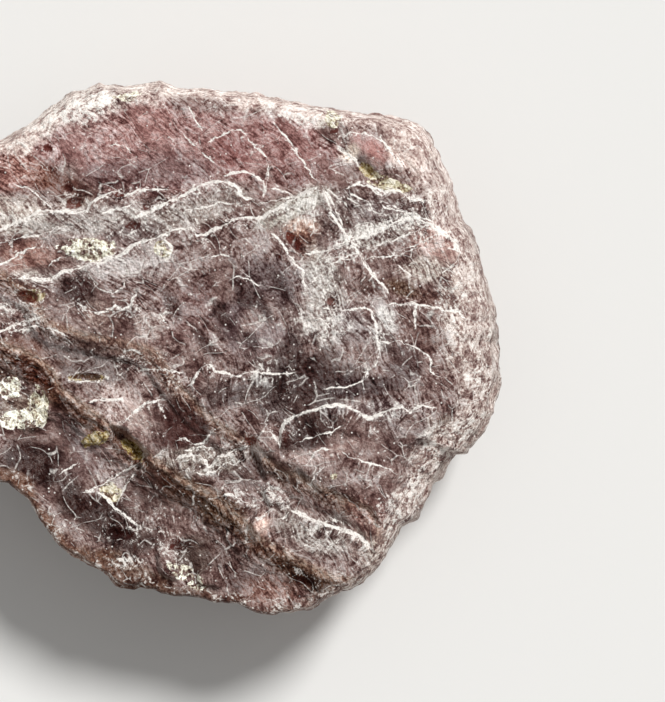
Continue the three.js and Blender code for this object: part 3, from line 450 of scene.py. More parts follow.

# Frost, brown stain, mica, calm areas with little fine pattern, and hollows darkened with painted
# shade: place, half sizes, turn in degrees, strength. Mica has one more value, from 0 for cream to 1 for
# olive.
FROST = [
    (14, 22, 14, 1.8, 8, 0.4), (38, 23, 7, 4, -12, 0.3), (35, 30, 5, 4, 0, 0.25),
    (8.5, 10.4, 5, 1.8, 14, 0.8), (31, 11.4, 6, 1, -8, 0.6), (17, 20.2, 3.4, 0.9, 25, 0.6),
    (30, 20.4, 3, 1.2, 28, 0.6), (32.4, 27.4, 1.8, 2.8, 0, 0.55), (31.8, 32.4, 3.2, 2.2, 0, 0.5),
    (38.4, 32.4, 1.2, 2.8, 0, 0.5), (20.4, 45.6, 4.4, 1.5, 5, 0.38), (3, 21.6, 3.2, 0.6, 17, 0.6),
    (6.9, 21.5, 1.6, 0.5, -10, 0.55), (12, 19.6, 3, 0.5, 8, 0.5), (20.6, 18.7, 3, 0.6, 25, 0.6),
    (4.4, 27.8, 3, 0.6, 8, 0.65), (12.5, 25, 4, 0.5, 24, 0.5), (27, 21.4, 5, 0.5, 20, 0.5),
    (32, 53.8, 4.6, 1.6, -20, 0.45), (26.3, 37, 1.2, 1.4, 0, 0.6), (18, 38.4, 1.6, 1, 0, 0.5),
    (13.6, 36.4, 2.4, 1, -10, 0.5), (2.4, 27.9, 2.6, 0.9, 0, 0.6), (1, 30.9, 2.6, 1.2, 0, 0.55),
    (1.5, 32.4, 3, 0.8, 10, 0.6), (1, 41.6, 2.8, 2, 0, 0.25), (8, 30.6, 1.6, 0.8, -40, 0.5),
    (14.5, 52, 2.6, 1.2, 15, 0.35), (17, 55, 1.6, 2, 20, 0.5), (12.8, 56.4, 2, 0.8, 0, 0.7),
    (24.4, 49.9, 2, 0.8, -30, 0.6), (27.4, 49.6, 1.8, 1.1, -38, 0.7), (45, 30, 2, 3, 0, 0.5),
    (42, 20.6, 3, 1.2, -20, 0.5), (37.2, 22.9, 4.4, 0.9, 20, 0.8), (33.4, 26, 3.2, 0.9, 16, 0.6),
    (31.2, 28.2, 1.4, 1.8, -40, 0.6), (42, 23.4, 2.4, 0.8, -28, 0.7), (33.2, 20.2, 1.2, 1.6, 0, 0.45),
    (30.8, 21.8, 1.6, 0.7, 24, 0.6), (38.6, 41.2, 2.6, 1, 0, 0.4), (22.5, 44.8, 1.6, 1, 0, 0.5),
    (38.6, 50.8, 1.4, 2, -30, 0.5), (12.6, 31.2, 2.6, 0.8, 0, 0.5), (16, 31.4, 1.4, 1, -30, 0.5),
    (41.6, 30.8, 2.6, 0.9, -20, 0.4), (0, 22.4, 4, 1.2, 10, 0.5), (12.6, 42.4, 1.4, 1.4, 40, 0.4),
    (16, 35.6, 1.6, 0.7, 0, 0.4),
]
STAINS = [
    (30.5, 24.6, 1.6, 1.2, -50, 0.9), (40.4, 29, 2.4, 0.8, -22, 0.8), (2.6, 37, 3, 1.5, -35, 1.0),
    (35, 50.2, 3, 0.8, -24, 0.5), (0, 28.6, 2.6, 1, -20, 0.8), (20.5, 20.9, 1, 0.4, 10, 0.5),
]
MICA = [
    (8.8, 24.8, 3.4, 1.1, -6, 1.3, 0.15), (16.5, 25, 0.8, 0.8, 0, 0.8, 0.5),
    (0.8, 38.7, 1.3, 1.2, 0, 0.8, 0.1), (1.3, 42.2, 1.8, 1.0, 10, 0.8, 0.1),
    (3.8, 40.8, 1.1, 2.4, 12, 0.9, 0.35), (10.7, 49.2, 1.2, 0.8, -20, 1.0, 0.6),
    (9.5, 43.9, 1.7, 0.7, 14, 1.0, 0.9), (13, 45, 2, 0.7, -48, 1.0, 0.95),
    (36.6, 16.9, 1.4, 0.6, -45, 1.0, 0.85), (38.7, 18.2, 2.1, 0.7, -16, 1.0, 0.55),
    (33.2, 12, 0.9, 1.1, 0, 0.9, 0.45), (3.4, 29.4, 1.2, 0.8, 0, 0.7, 0.7),
    (8.6, 37.8, 1.6, 0.35, 0, 0.9, 0.8), (18.2, 57.6, 2.4, 0.8, -30, 0.5, 0.1),
    (12.4, 9.6, 1.6, 0.6, 10, 0.6, 0.3), (33.4, 47.6, 0.5, 0.4, 0, 0.8, 0.4),
]
CALM = [
    (16, 14, 15, 4, -4, 0.45), (9, 22.6, 9, 1.6, 6, 0.3), (21, 21, 6, 1.6, 20, 0.3),
    (36.8, 15, 2.6, 1.5, -42, 0.9), (18, 42.6, 2.8, 2.6, 0, 0.6), (13.6, 42.2, 1.8, 2.2, -30, 0.8),
    (8.4, 45.6, 2.8, 1.6, 30, 0.7), (15.4, 48.8, 2.4, 2.6, -20, 0.6), (6, 43.4, 1.6, 2.4, 25, 0.6),
    (33, 43.2, 3.6, 1.6, 20, 0.5), (26, 52.6, 1, 1.2, -60, 0.9), (48, 30, 1.2, 9, -6, 0.5),
    (44, 25.2, 2, 1.4, -30, 0.6), (3, 33.6, 2.6, 1, -12, 0.5),
]
SHADED_HOLLOWS = [
    (33.4, 13, 0.7, 0.4, 15, 0.8), (17.6, 54.7, 1, 0.6, 10, 0.8), (25.2, 44.1, 0.9, 0.5, 0, 0.9),
    (28.4, 43.6, 0.8, 1.2, 20, 0.5), (33.6, 42, 1, 1, 0, 0.4), (37.4, 24.2, 0.4, 0.8, 40, 0.3),
]

# Iron stain below the ledges: the ledge, how far down it reaches, its strength and paint, and
# how strong the painted highlight along the ledge's lip is.
STAINED_LEDGES = [
    (GREAT_LEDGE, 2.4, 0.9, (103, 72, 54), 0.65),
    (UPPER_LEDGE, 1.6, 0.6, (138, 112, 98), 0.5),
]
# The paint of the painted highlight along each ledge's lip.
LEDGE_LIP_HIGHLIGHT = paint(210, 182, 160)

# The rim by direction, in degrees from +X: its paint, partly its own crust colour and partly painted
# light, paler on the upper right that faces the key and darker on the shaded lower left; and how
# coarse its grain is.
RIM_PAINTS_AND_LIGHT = [
    (0, (200, 190, 183), 0.45), (30, (204, 192, 186), 0.25), (60, (212, 197, 190), 0.15),
    (90, (228, 217, 210), 0.25), (120, (236, 230, 223), 0.2), (140, (222, 208, 200), 0.2),
    (175, (146, 116, 104), 0.3), (210, (124, 92, 74), 0.4), (240, (128, 97, 80), 0.4),
    (262, (104, 78, 64), 0.6), (280, (114, 84, 72), 0.6), (300, (170, 152, 142), 0.7),
    (320, (206, 194, 186), 0.9), (340, (206, 194, 186), 0.8),
]
UNDERSIDE = paint(142, 118, 110)

# Paints of the frost, which is also the white of the painted highlights on crests and of the painted
# glints, and of the two micas, and of the floor that the crystal lies on.
FROST_AND_HIGHLIGHT_WHITE = (245, 240, 233)
CREAM_MICA = (226, 224, 204)
OLIVE_MICA = (152, 126, 46)
PALE_FLOOR = (226, 225, 222)

# The light: the key's strength, its spread and turn in degrees, and the surround's strength.
KEY_STRENGTH = 3.25
KEY_SPREAD = 14
KEY_TURN = (-40, 0, -36)
SURROUND_STRENGTH = 0.34

SENSOR_WIDTH = 36  # the camera's, in millimetres
FLOOR_REACH = 1.5  # from the middle to each side, in metres


def on_face(places):
    """Drawn places as x and y in the part's frame, for things at the broad face's height."""
    return (np.asarray(places, float)[:, :2] - DRAWING_ORIGIN) * (1, -1)


def on_girdle(places):
    """The same for the girdle, which is further from the eye and so larger than it is drawn."""
    places = np.asarray(places, float)
    return on_face(DRAWING_MIDDLE + (places - DRAWING_MIDDLE) * GIRDLE_SPREAD)


def around(table, angles):
    """A table of degrees and values, read at angles in radians with straight lines between."""
    degrees, values = np.transpose(table)
    return np.interp(np.degrees(angles) % 360, degrees, values, period=360)


def smooth(low, high, values):
    """0 below low, 1 above high and 3t^2 - 2t^3 between."""
    t = np.clip((values - low) / (high - low), 0, 1)
    return t * t * (3 - 2 * t)


def noise(points, size, seed):
    """Smooth random values from -1 to 1: random numbers on a cubic lattice with the given
    spacing, blended across each cube by 3t^2 - 2t^3 along each side."""
    lattice = np.random.default_rng(seed).uniform(-1, 1, (32, 32, 32))
    place = points / size
    cell = np.floor(place).astype(int)
    t = smooth(0, 1, place - cell)
    total = np.zeros(len(points))
    for corner in np.ndindex(2, 2, 2):
        weight = np.where(np.array(corner) == 1, t, 1 - t).prod(axis=1)
        i, j, k = ((cell + corner) % 32).T
        total += weight * lattice[i, j, k]
    return total


def rough(points, size, layers, seed):
    """Layers of noise, each half as large and half as high as the one before it."""
    return sum(noise(points, size / 2**n, seed + n) / 2**n for n in range(layers))


def beside(points, line):
    """For each point: its distance from a polyline, on which side it is (+1 right of the way
    the line runs, in the part's frame), and how far along the line its nearest place lies."""
    gap = np.full(len(points), np.inf)
    side = np.ones(len(points))
    share = np.zeros(len(points))
    run = 0.0
    for start, end in zip(line[:-1], line[1:]):
        step = end - start
        length = np.hypot(*step)
        offset = points - start
        t = np.clip(offset @ step / length**2, 0, 1)
        here = np.hypot(*(offset - t[:, None] * step).T)
        nearer = here < gap
        turn = step[1] * offset[:, 0] - step[0] * offset[:, 1]
        gap = np.where(nearer, here, gap)
        side = np.where(nearer, np.where(turn < 0, -1.0, 1.0), side)
        share = np.where(nearer, run + t * length, share)
        run += length
    return gap, side, share, run


def inside(points, region):
    """Whether each point is in a closed region, by counting the edges to its right."""
    odd = np.zeros(len(points), bool)
    x, y = points.T
    for a, b in zip(region, np.roll(region, -1, axis=0)):
        if a[1] != b[1]:
            crosses = (a[1] > y) != (b[1] > y)
            odd ^= crosses & (x < a[0] + (y - a[1]) * (b[0] - a[0]) / (b[1] - a[1]))
    return odd


def into(points, region):
    """How far each point lies inside a region's edge, negative outside it."""
    closed = np.vstack([region, region[:1]])
    gap = beside(points, closed)[0]
    return np.where(inside(points, region), gap, -gap)


def oval(points, x, y, half_x, half_y, turn):
    """The distance from an oval's centre, as a share of its size in that direction."""
    offset = points - on_face([(x, y)])
    c = math.cos(math.radians(turn))
    s = math.sin(math.radians(turn))
    along = offset[:, 0] * c + offset[:, 1] * s
    across = offset[:, 1] * c - offset[:, 0] * s
    return np.hypot(along / half_x, across / half_y)


def girdle_radius(angles):
    """The girdle's distance from the origin by direction, with fine notches taken out of it."""
    x, y = on_girdle(GIRDLE).T
    turns = np.arctan2(y, x) % (2 * math.pi)
    order = np.argsort(turns)
    radius = np.interp(angles % (2 * math.pi), turns[order], np.hypot(x, y)[order], period=2 * math.pi)
    ring = np.stack([np.cos(angles), np.sin(angles), 0 * angles], axis=1) * radius[:, None]
    return radius - 0.12 * (1 + rough(ring, 1.4, 3, 70))


def swell(points):
    """The broad face's gentle rise and fall: three long waves and a slight tilt."""
    z = points @ FACE_TILT
    for height, length, turn, phase in WAVES:
        run = points @ (math.cos(turn), math.sin(turn))
        z = z + height * np.sin(2 * math.pi * run / length + phase)
    return z


def sheet_height(points):
    """The broad face: at each point the lowest of the sheets left there. Each sheet's edge
    climbs from its own level by its drop over its width, and then steeply."""
    flat = np.column_stack([points, np.zeros(len(points))])
    ragged = 0.22 * rough(flat, 1.1, 3, 11)
    level = np.full(len(points), TOP_SHEET)
    for region, depth, drop, width in MISSING_SHEETS:
        deep = into(points, on_face(region)) + ragged * min(1, 2 * width)
        climb = np.maximum(0, width - deep) / width
        steps = climb + 0.07 * np.sin(2 * math.pi * climb * max(1, round(drop / 0.45)))
        rise = drop * np.where(deep < 0, 1 - 5 * deep / width, steps)
        level = np.minimum(level, TOP_SHEET - depth + rise)
    return level + swell(points)


def crest_fields(points):
    """Each crest's signed distance from every point near it, how much of the crest is there and
    how far along it. A crest thins to nothing over its ends."""
    fields = []
    for half_width, lift, frost, fan, places in CRESTS:
        line = on_face(places)
        near = np.flatnonzero(
            (points > line.min(axis=0) - 5).all(axis=1) & (points < line.max(axis=0) + 5).all(axis=1)
        )
        gap, side, share, length = beside(points[near], line)
        taper = smooth(0, 0.8, share) * smooth(0, 0.8, length - share)
        fields.append((near, gap * side, taper, share, half_width, lift, frost, fan, line))
    return fields


def face_relief(points, crests):
    """Small relief on the broad face: fine roughness with creases where a noise passes through
    zero, low terraces, lifted crest edges, pits and lumps. A terrace is the whole part of a
    slowly changing level, with its riser smoothed, less the level itself."""
    flat = np.column_stack([points, np.zeros(len(points))])
    z = 0.05 * rough(flat, 3.2, 2, 21) + 0.045 * rough(flat, 0.9, 3, 31)
    z -= 0.1 * np.abs(noise(flat, 2.7, 26)) + 0.08 * np.abs(noise(flat, 1.3, 27))
    lean = flat @ [[0.79, 0.62, 0], [-0.31, 0.39, 0], [0, 0, 1]]
    level = 2.6 * rough(lean, 5.5, 3, 91) + 0.12 * points[:, 1]
    z += 0.15 * (np.floor(level) + smooth(0.8, 1.0, level % 1) - level)
    for near, gap, taper, _, _, lift, _, _, _ in crests:
        behind = smooth(-0.14, 0.14, gap)
        raised = behind * np.exp(-np.maximum(gap, 0) / 1.6)
        foot = 0.7 * (1 - behind) * np.exp(np.minimum(gap, 0) / 0.7)
        z[near] += 1.3 * lift * taper * (raised - foot)
    ragged = 0.25 * rough(flat, 0.8, 2, 41)
    for x, y, half_x, half_y, turn in PITS:
        z -= 0.8 * half_y * (1 - smooth(0.35, 1.1, oval(points, x, y, half_x, half_y, turn) + ragged))
    for x, y, half_x, half_y, height, turn in LUMPS:
        z += height * (1 - smooth(0.55, 1.05, oval(points, x, y, half_x, half_y, turn) + ragged))
    return z


def disc(count):
    """A square grid bent onto the unit disc: its rows become rings and its diagonals spokes.
    Returns the distance from the centre and the direction of each grid point."""
    a, b = np.meshgrid(np.linspace(-1, 1, count + 1), np.linspace(-1, 1, count + 1), indexing="ij")
    wide = np.abs(a) > np.abs(b)
    radius = np.where(wide, a, b)
    safe = np.where(radius == 0, 1, radius)
    angle = np.where(wide, math.pi / 4 * b / safe, math.pi / 2 - math.pi / 4 * a / safe)
    return np.abs(radius).ravel(), (angle + np.where(radius < 0, math.pi, 0)).ravel()


def rim_of(count):
    """The border of a square grid as point numbers, anticlockwise from its lower right corner."""
    number = np.arange((count + 1) ** 2).reshape(count + 1, count + 1)
    return np.concatenate(
        [number[-1, :-1], number[:0:-1, -1], number[0, :0:-1], number[:-1, 0]]
    )


def grid_faces(count):
    """The squares of a grid, as point numbers, facing up."""
    number = np.arange((count + 1) ** 2).reshape(count + 1, count + 1)
    corners = (number[:-1, :-1], number[1:, :-1], number[1:, 1:], number[:-1, 1:])
    return np.stack([corner.ravel() for corner in corners], axis=1)


def band_faces(upper, lower):
    """The squares between two rings of the same count, facing out."""
    return np.stack([upper, lower, np.roll(lower, -1), np.roll(upper, -1)], axis=1)


def side_height(inset, width):
    """The upper side's height where it lies a given distance inside the girdle."""
    share, climb = np.transpose(RIM_PROFILE)
    height = GIRDLE_HEIGHT + (SHOULDER_HEIGHT - GIRDLE_HEIGHT) * np.interp(inset / width, share, climb)
    return height + np.maximum(0, inset - width) / SLOPE_ABOVE_SHOULDER


def ledge_inset(height, angles):
    """How far the side's small overhanging ledges set it back: most just above each ledge."""
    inset = np.zeros(np.broadcast(height, angles).shape)
    for ledge, depth, waves, phase in SIDE_LEDGES:
        above = height - ledge
        reach = np.maximum(0, np.sin(waves * angles + phase))
        fade = np.where((above > 0) & (above < LEDGE_FADE), 1 - above / LEDGE_FADE, 0)
        inset = inset + depth * reach * fade
    return inset


def side_rows(angles, heights, width_table, profile, base, top):
    """Rings of the side between two heights: the profile's inset at each height, less roughness
    that only takes material away, so nothing stands out past the girdle."""
    share, climb = np.transpose(profile)
    rings = []
    for height in heights:
        part = np.interp((height - base) / (top - base), climb, share)
        inset = around(width_table, angles) * part + ledge_inset(height, angles)
        radius = girdle_radius(angles) - inset
        ring = np.stack([radius * np.cos(angles), radius * np.sin(angles), height + 0 * angles], axis=1)
        near_seam = min(1, abs(height - seam_height()) / 1.5)
        grain = 0.34 * rough(ring * (1, 1, 1.6), 2.2, 4, 51)
        ring[:, :2] *= (1 - near_seam * (0.3 + grain) / radius)[:, None]
        ring[:, 2] += near_seam * 0.45 * np.sin(2 * angles + 0.5 * height) * (height > 0.3)
        rings.append(ring)
    return rings


def seam_height():
    """Where the broad face's surface meets the side's."""
    share, climb = np.transpose(RIM_PROFILE)
    return GIRDLE_HEIGHT + (SHOULDER_HEIGHT - GIRDLE_HEIGHT) * np.interp(SEAM_SHARE, share, climb)


def crystal_shape():
    """The whole crystal as one closed surface: the broad face's grid, rings down its upper side,
    rings of half as many points down its lower side, and the back's grid."""
    share, angle = disc(FACE_CELLS)
    outline = girdle_radius(angle)
    width = around(RIM_WIDTH, angle)
    radius = share * (outline - SEAM_SHARE * width)
    face = np.stack([radius * np.cos(angle), radius * np.sin(angle)], axis=1)
    crests = crest_fields(face)
    side = side_height(outline - radius, width)
    top = sheet_height(face)
    blend = 0.25
    z = -blend * np.logaddexp(-side / blend, -top / blend)
    z += face_relief(face, crests) * smooth(1.0, 0.97, share)
    parts = [np.column_stack([face, z])]
    rim = rim_of(FACE_CELLS)
    faces = [grid_faces(FACE_CELLS)]

    ring = rim
    turns = angle[rim]
    total = len(face)
    for points in side_rows(turns, UPPER_ROWS, RIM_WIDTH, RIM_PROFILE, GIRDLE_HEIGHT, SHOULDER_HEIGHT):
        number = total + np.arange(len(points))
        faces.append(band_faces(ring, number))
        parts.append(points)
        ring = number
        total += len(points)

    halved = [(s, 1 - c) for s, c in BACK_PROFILE][::-1]
    lower = side_rows(turns[::2], LOWER_ROWS, BACK_WIDTH, halved, 0.0, GIRDLE_HEIGHT)
    fans = []
    for points in lower:
        number = total + np.arange(len(points))
        if len(ring) > len(number):
            even = ring[::2]
            odd = ring[1::2]
            after = np.roll(number, -1)
            fans = [(even, number, odd), (odd, number, after), (odd, after, np.roll(even, -1))]
        else:
            faces.append(band_faces(ring, number))
        parts.append(points)
        ring = number
        total += len(points)

    share, angle = disc(BACK_CELLS)
    back_radius = girdle_radius(angle) - around(BACK_WIDTH, angle) - 0.3
    back = share[:, None] * np.stack([back_radius * np.cos(angle), back_radius * np.sin(angle)], axis=1)
    flat = np.column_stack([back, np.zeros(len(back))])
    z = np.zeros(len(back))
    for region, depth in BACK_RECESSES:
        z += depth * smooth(-0.1, 0.5, into(back, on_face(region)) + 0.3 * rough(flat, 1.3, 3, 61))
    z += 0.05 * (2 + rough(flat, 1.6, 3, 65)) * smooth(1.0, 0.9, share)
    parts.append(np.column_stack([back, z]))
    number = total + rim_of(BACK_CELLS)
    faces.append(band_faces(ring, number))
    faces.append(grid_faces(BACK_CELLS)[:, ::-1] + total)
    triangles = np.concatenate([np.stack(fan, axis=1) for fan in fans])
    return np.concatenate(parts), np.concatenate(faces), triangles, crests


def patch(points, x, y, half_x, half_y, turn, ragged):
    """How much of a soft oval patch each point gets: 1 inside, fading over its uneven edge."""
    return 1 - smooth(0.55, 1.25, oval(points, x, y, half_x, half_y, turn) + 0.8 * ragged)


def strongest(points, table, ragged):
    """The strongest of a table's patches at each point."""
    most = np.zeros(len(points))
    for x, y, half_x, half_y, turn, strength in table:
        most = np.maximum(most, strength * patch(points, x, y, half_x, half_y, turn, ragged))
    return most


def put(mesh, name, kind, values):
    """Stores one value for each vertex of a mesh."""
    layer = mesh.attributes.new(name, kind, "POINT")
    field = "color" if kind == "FLOAT_COLOR" else "vector"
    layer.data.foreach_set(field, np.ascontiguousarray(values, np.float32).ravel())


def crest_layers(count, crests):
    """Sorts the crests into layers whose lines keep two millimetres apart, so that each layer
    can hold one signed distance and one half width for each vertex."""
    layers = []
    for near, gap, taper, _, half_width, _, _, _, line in crests:
        dense = np.concatenate([np.linspace(a, b, 5) for a, b in zip(line[:-1], line[1:])])
        for taken, values, widths in layers:
            gaps = [(dense[:, None] - other[None]).transpose(2, 0, 1) for other in taken]
            if min(np.hypot(*each).min() for each in gaps) > 2.0:
                break
        else:
            taken = []
            values = np.full(count, 9.0)
            widths = np.zeros(count)
            layers.append((taken, values, widths))
        taken.append(dense)
        close = np.abs(gap) < np.abs(values[near])
        here = near[close]
        values[here] = gap[close]
        widths[here] = (half_width * taper * (1 - smooth(0.6, 1.0, np.abs(gap))))[close]
    return [np.column_stack([values, widths, 0 * values]) for _, values, widths in layers]


def colour_points(mesh, points, crests, face_count):
    """Stores the stone's broad colouring on its vertices: the tint, with painted highlights on the
    ledges' lips and a rim paint that is partly painted light, how coarse and how calm its grain is,
    how much frost, crust, stain, mica, olive and painted shade in hollows there is, the fibres that fan
    out from crests, and the crests' lines. Returns the number of layers of lines."""
    place = points[:, :2]
    flat = np.column_stack([place, 0.3 * points[:, 2]])
    ragged = 0.5 * rough(flat, 2.2, 4, 81)
    angle = np.arctan2(place[:, 1], place[:, 0])
    outline = girdle_radius(angle)
    width = around(RIM_WIDTH, angle)
    inset = (outline - np.hypot(*place.T)) / width
    tint = np.tile(GREYED_MAUVE, (len(points), 1))
    stain = np.zeros(len(points))
    lip_highlight = np.zeros(len(points))
    for ledge, reach, strength, mix, edge in STAINED_LEDGES:
        gap, side, _, _ = beside(place, on_face(ledge))
        # A painted highlight along the ledge's lip, with the stain below it.
        near_edge = edge * np.exp(-((gap * side - 0.15 + 0.3 * ragged) / 0.36) ** 2)
        fall = gap * side + 0.8 * ragged
        below_edge = smooth(-0.1, 0.3, fall) * (1 - smooth(0.6 * reach, 1.2 * reach, fall))
        stained = strength * below_edge * (1 - near_edge)
        tint += stained[:, None] * (paint(*mix) - tint)
        stain = np.maximum(stain, stained)
        lip_highlight = np.maximum(lip_highlight, near_edge)
    for x, y, half_x, half_y, turn, mix, strength in TINTS:
        amount = strength * patch(place, x, y, half_x, half_y, turn, ragged)
        taken = GREYED_MAUVE * (paint(*mix) / GREYED_MAUVE) ** TINT_REACH
        tint += amount[:, None] * (taken - tint)

    # The ledges' lips get their painted highlight.
    tint += (0.85 * lip_highlight)[:, None] * (LEDGE_LIP_HIGHLIGHT - tint)
    # The rim's paint by direction, with painted light: paler on the upper right, darker on the lower left.
    rim = smooth(1.35, 0.8, inset + 0.9 * ragged)
    degrees = np.degrees(angle) % 360
    stops = [stop for stop, _, _ in RIM_PAINTS_AND_LIGHT]
    bands = np.transpose([paint(*mix) for _, mix, _ in RIM_PAINTS_AND_LIGHT])
    rim_paint_and_light = np.stack([np.interp(degrees, stops, band, period=360) for band in bands], axis=1)
    grain = np.interp(degrees, stops, [grain for _, _, grain in RIM_PAINTS_AND_LIGHT], period=360)
    tint += (rim * 0.9)[:, None] * (rim_paint_and_light - tint)
    upper = np.arange(len(points)) < face_count
    below = smooth(12, 6, points[:, 2] + 4 * ragged)
    tint += (below * 0.75)[:, None] * (UNDERSIDE - tint)
    uneven = 0.22 * rough(flat, 7, 2, 85) + 0.12 * rough(points * (0.3, 0.3, 1.6), 3, 2, 88)
    tint *= np.where(upper, 1, 1 + uneven)[:, None]
    grain = np.where(upper, grain, 0.3 * grain)

    frost = strongest(place, FROST, ragged)
    stain = np.maximum(stain * (1 - 0.8 * rim), strongest(place, STAINS, ragged))
    hollow_shade = strongest(place, SHADED_HOLLOWS, ragged)
    calm = np.maximum(0.5 * lip_highlight, strongest(place, CALM, 0.4 * ragged))
    mica = np.zeros(len(points))
    olive = np.zeros(len(points))
    fan = np.zeros((len(points), 3))
    for x, y, half_x, half_y, turn, strength, green in MICA:
        amount = strength * patch(place, x, y, half_x, half_y, turn, ragged)
        olive = np.where(amount > mica, green, olive)
        mica = np.maximum(mica, amount)
    # Pits: painted shade inside each, and a ring of painted highlight round its rim, kept with the frost.
    for x, y, half_x, half_y, turn in PITS:
        reach = oval(place, x, y, half_x, half_y, turn) + 0.5 * ragged
        hollow_shade = np.maximum(hollow_shade, 1 - smooth(0.6, 1.15, reach))
        frost = np.maximum(frost, 0.6 * smooth(0.9, 1.2, reach) * (1 - smooth(1.2, 1.7, reach)))
    # Each crest: a halo along it that is partly frost and partly painted highlight, frost on the scale
    # behind it, and the fibres that fan out from it.
    for near, gap, taper, share, half_width, _, veil, reach, _ in crests:
        halo = 0.6 * np.exp(-np.abs(gap) / 0.4) * half_width / 0.15
        behind = veil * np.exp(-np.maximum(gap, 0) / 1.5) * smooth(-0.2, 0.1, gap)
        frost[near] = np.maximum(frost[near], taper * np.maximum(halo, behind))
        if reach:
            amount = taper * smooth(-0.1, 0.1, gap) * (1 - smooth(0.7 * reach, reach, gap))
            more = amount > fan[near, 2]
            fan[near[more]] = np.column_stack([share, gap, amount])[more]
    crust = np.maximum(rim, 0.8 * ~upper)
    put(mesh, "tint", "FLOAT_COLOR", np.column_stack([tint, np.ones(len(tint))]))
    put(mesh, "grain", "FLOAT_VECTOR", np.column_stack([grain, calm, 0 * calm]))
    put(mesh, "marks", "FLOAT_VECTOR", np.column_stack([frost * upper, crust, stain * upper]))
    put(mesh, "spots", "FLOAT_VECTOR", np.column_stack([mica * upper, olive, hollow_shade * upper]))
    put(mesh, "fan", "FLOAT_VECTOR", fan)
    layers = crest_layers(len(points), crests)
    for number, layer in enumerate(layers):
        put(mesh, f"crest_{number}", "FLOAT_VECTOR", layer)
    return len(layers)


class Shade:
    """One output of a node, so that shader sums and products read as plain arithmetic."""

    def __init__(self, recipe, socket):
        self.recipe = recipe
        self.socket = socket

    def __add__(self, other):
        return self.recipe.math("ADD", self, other)

    def __radd__(self, other):
        return self.recipe.math("ADD", other, self)

    def __sub__(self, other):
        return self.recipe.math("SUBTRACT", self, other)

    def __rsub__(self, other):
        return self.recipe.math("SUBTRACT", other, self)

    def __mul__(self, other):
        return self.recipe.math("MULTIPLY", self, other)

    def __rmul__(self, other):
        return self.recipe.math("MULTIPLY", other, self)

    def __abs__(self):
        return self.recipe.math("ABSOLUTE", self)

    def held(self):
        """The same value kept between 0 and 1."""
        return self.recipe.node("ShaderNodeClamp", {}, {0: self})

    def over(self, other):
        """The larger of two values."""
        return self.recipe.math("MAXIMUM", self, other)


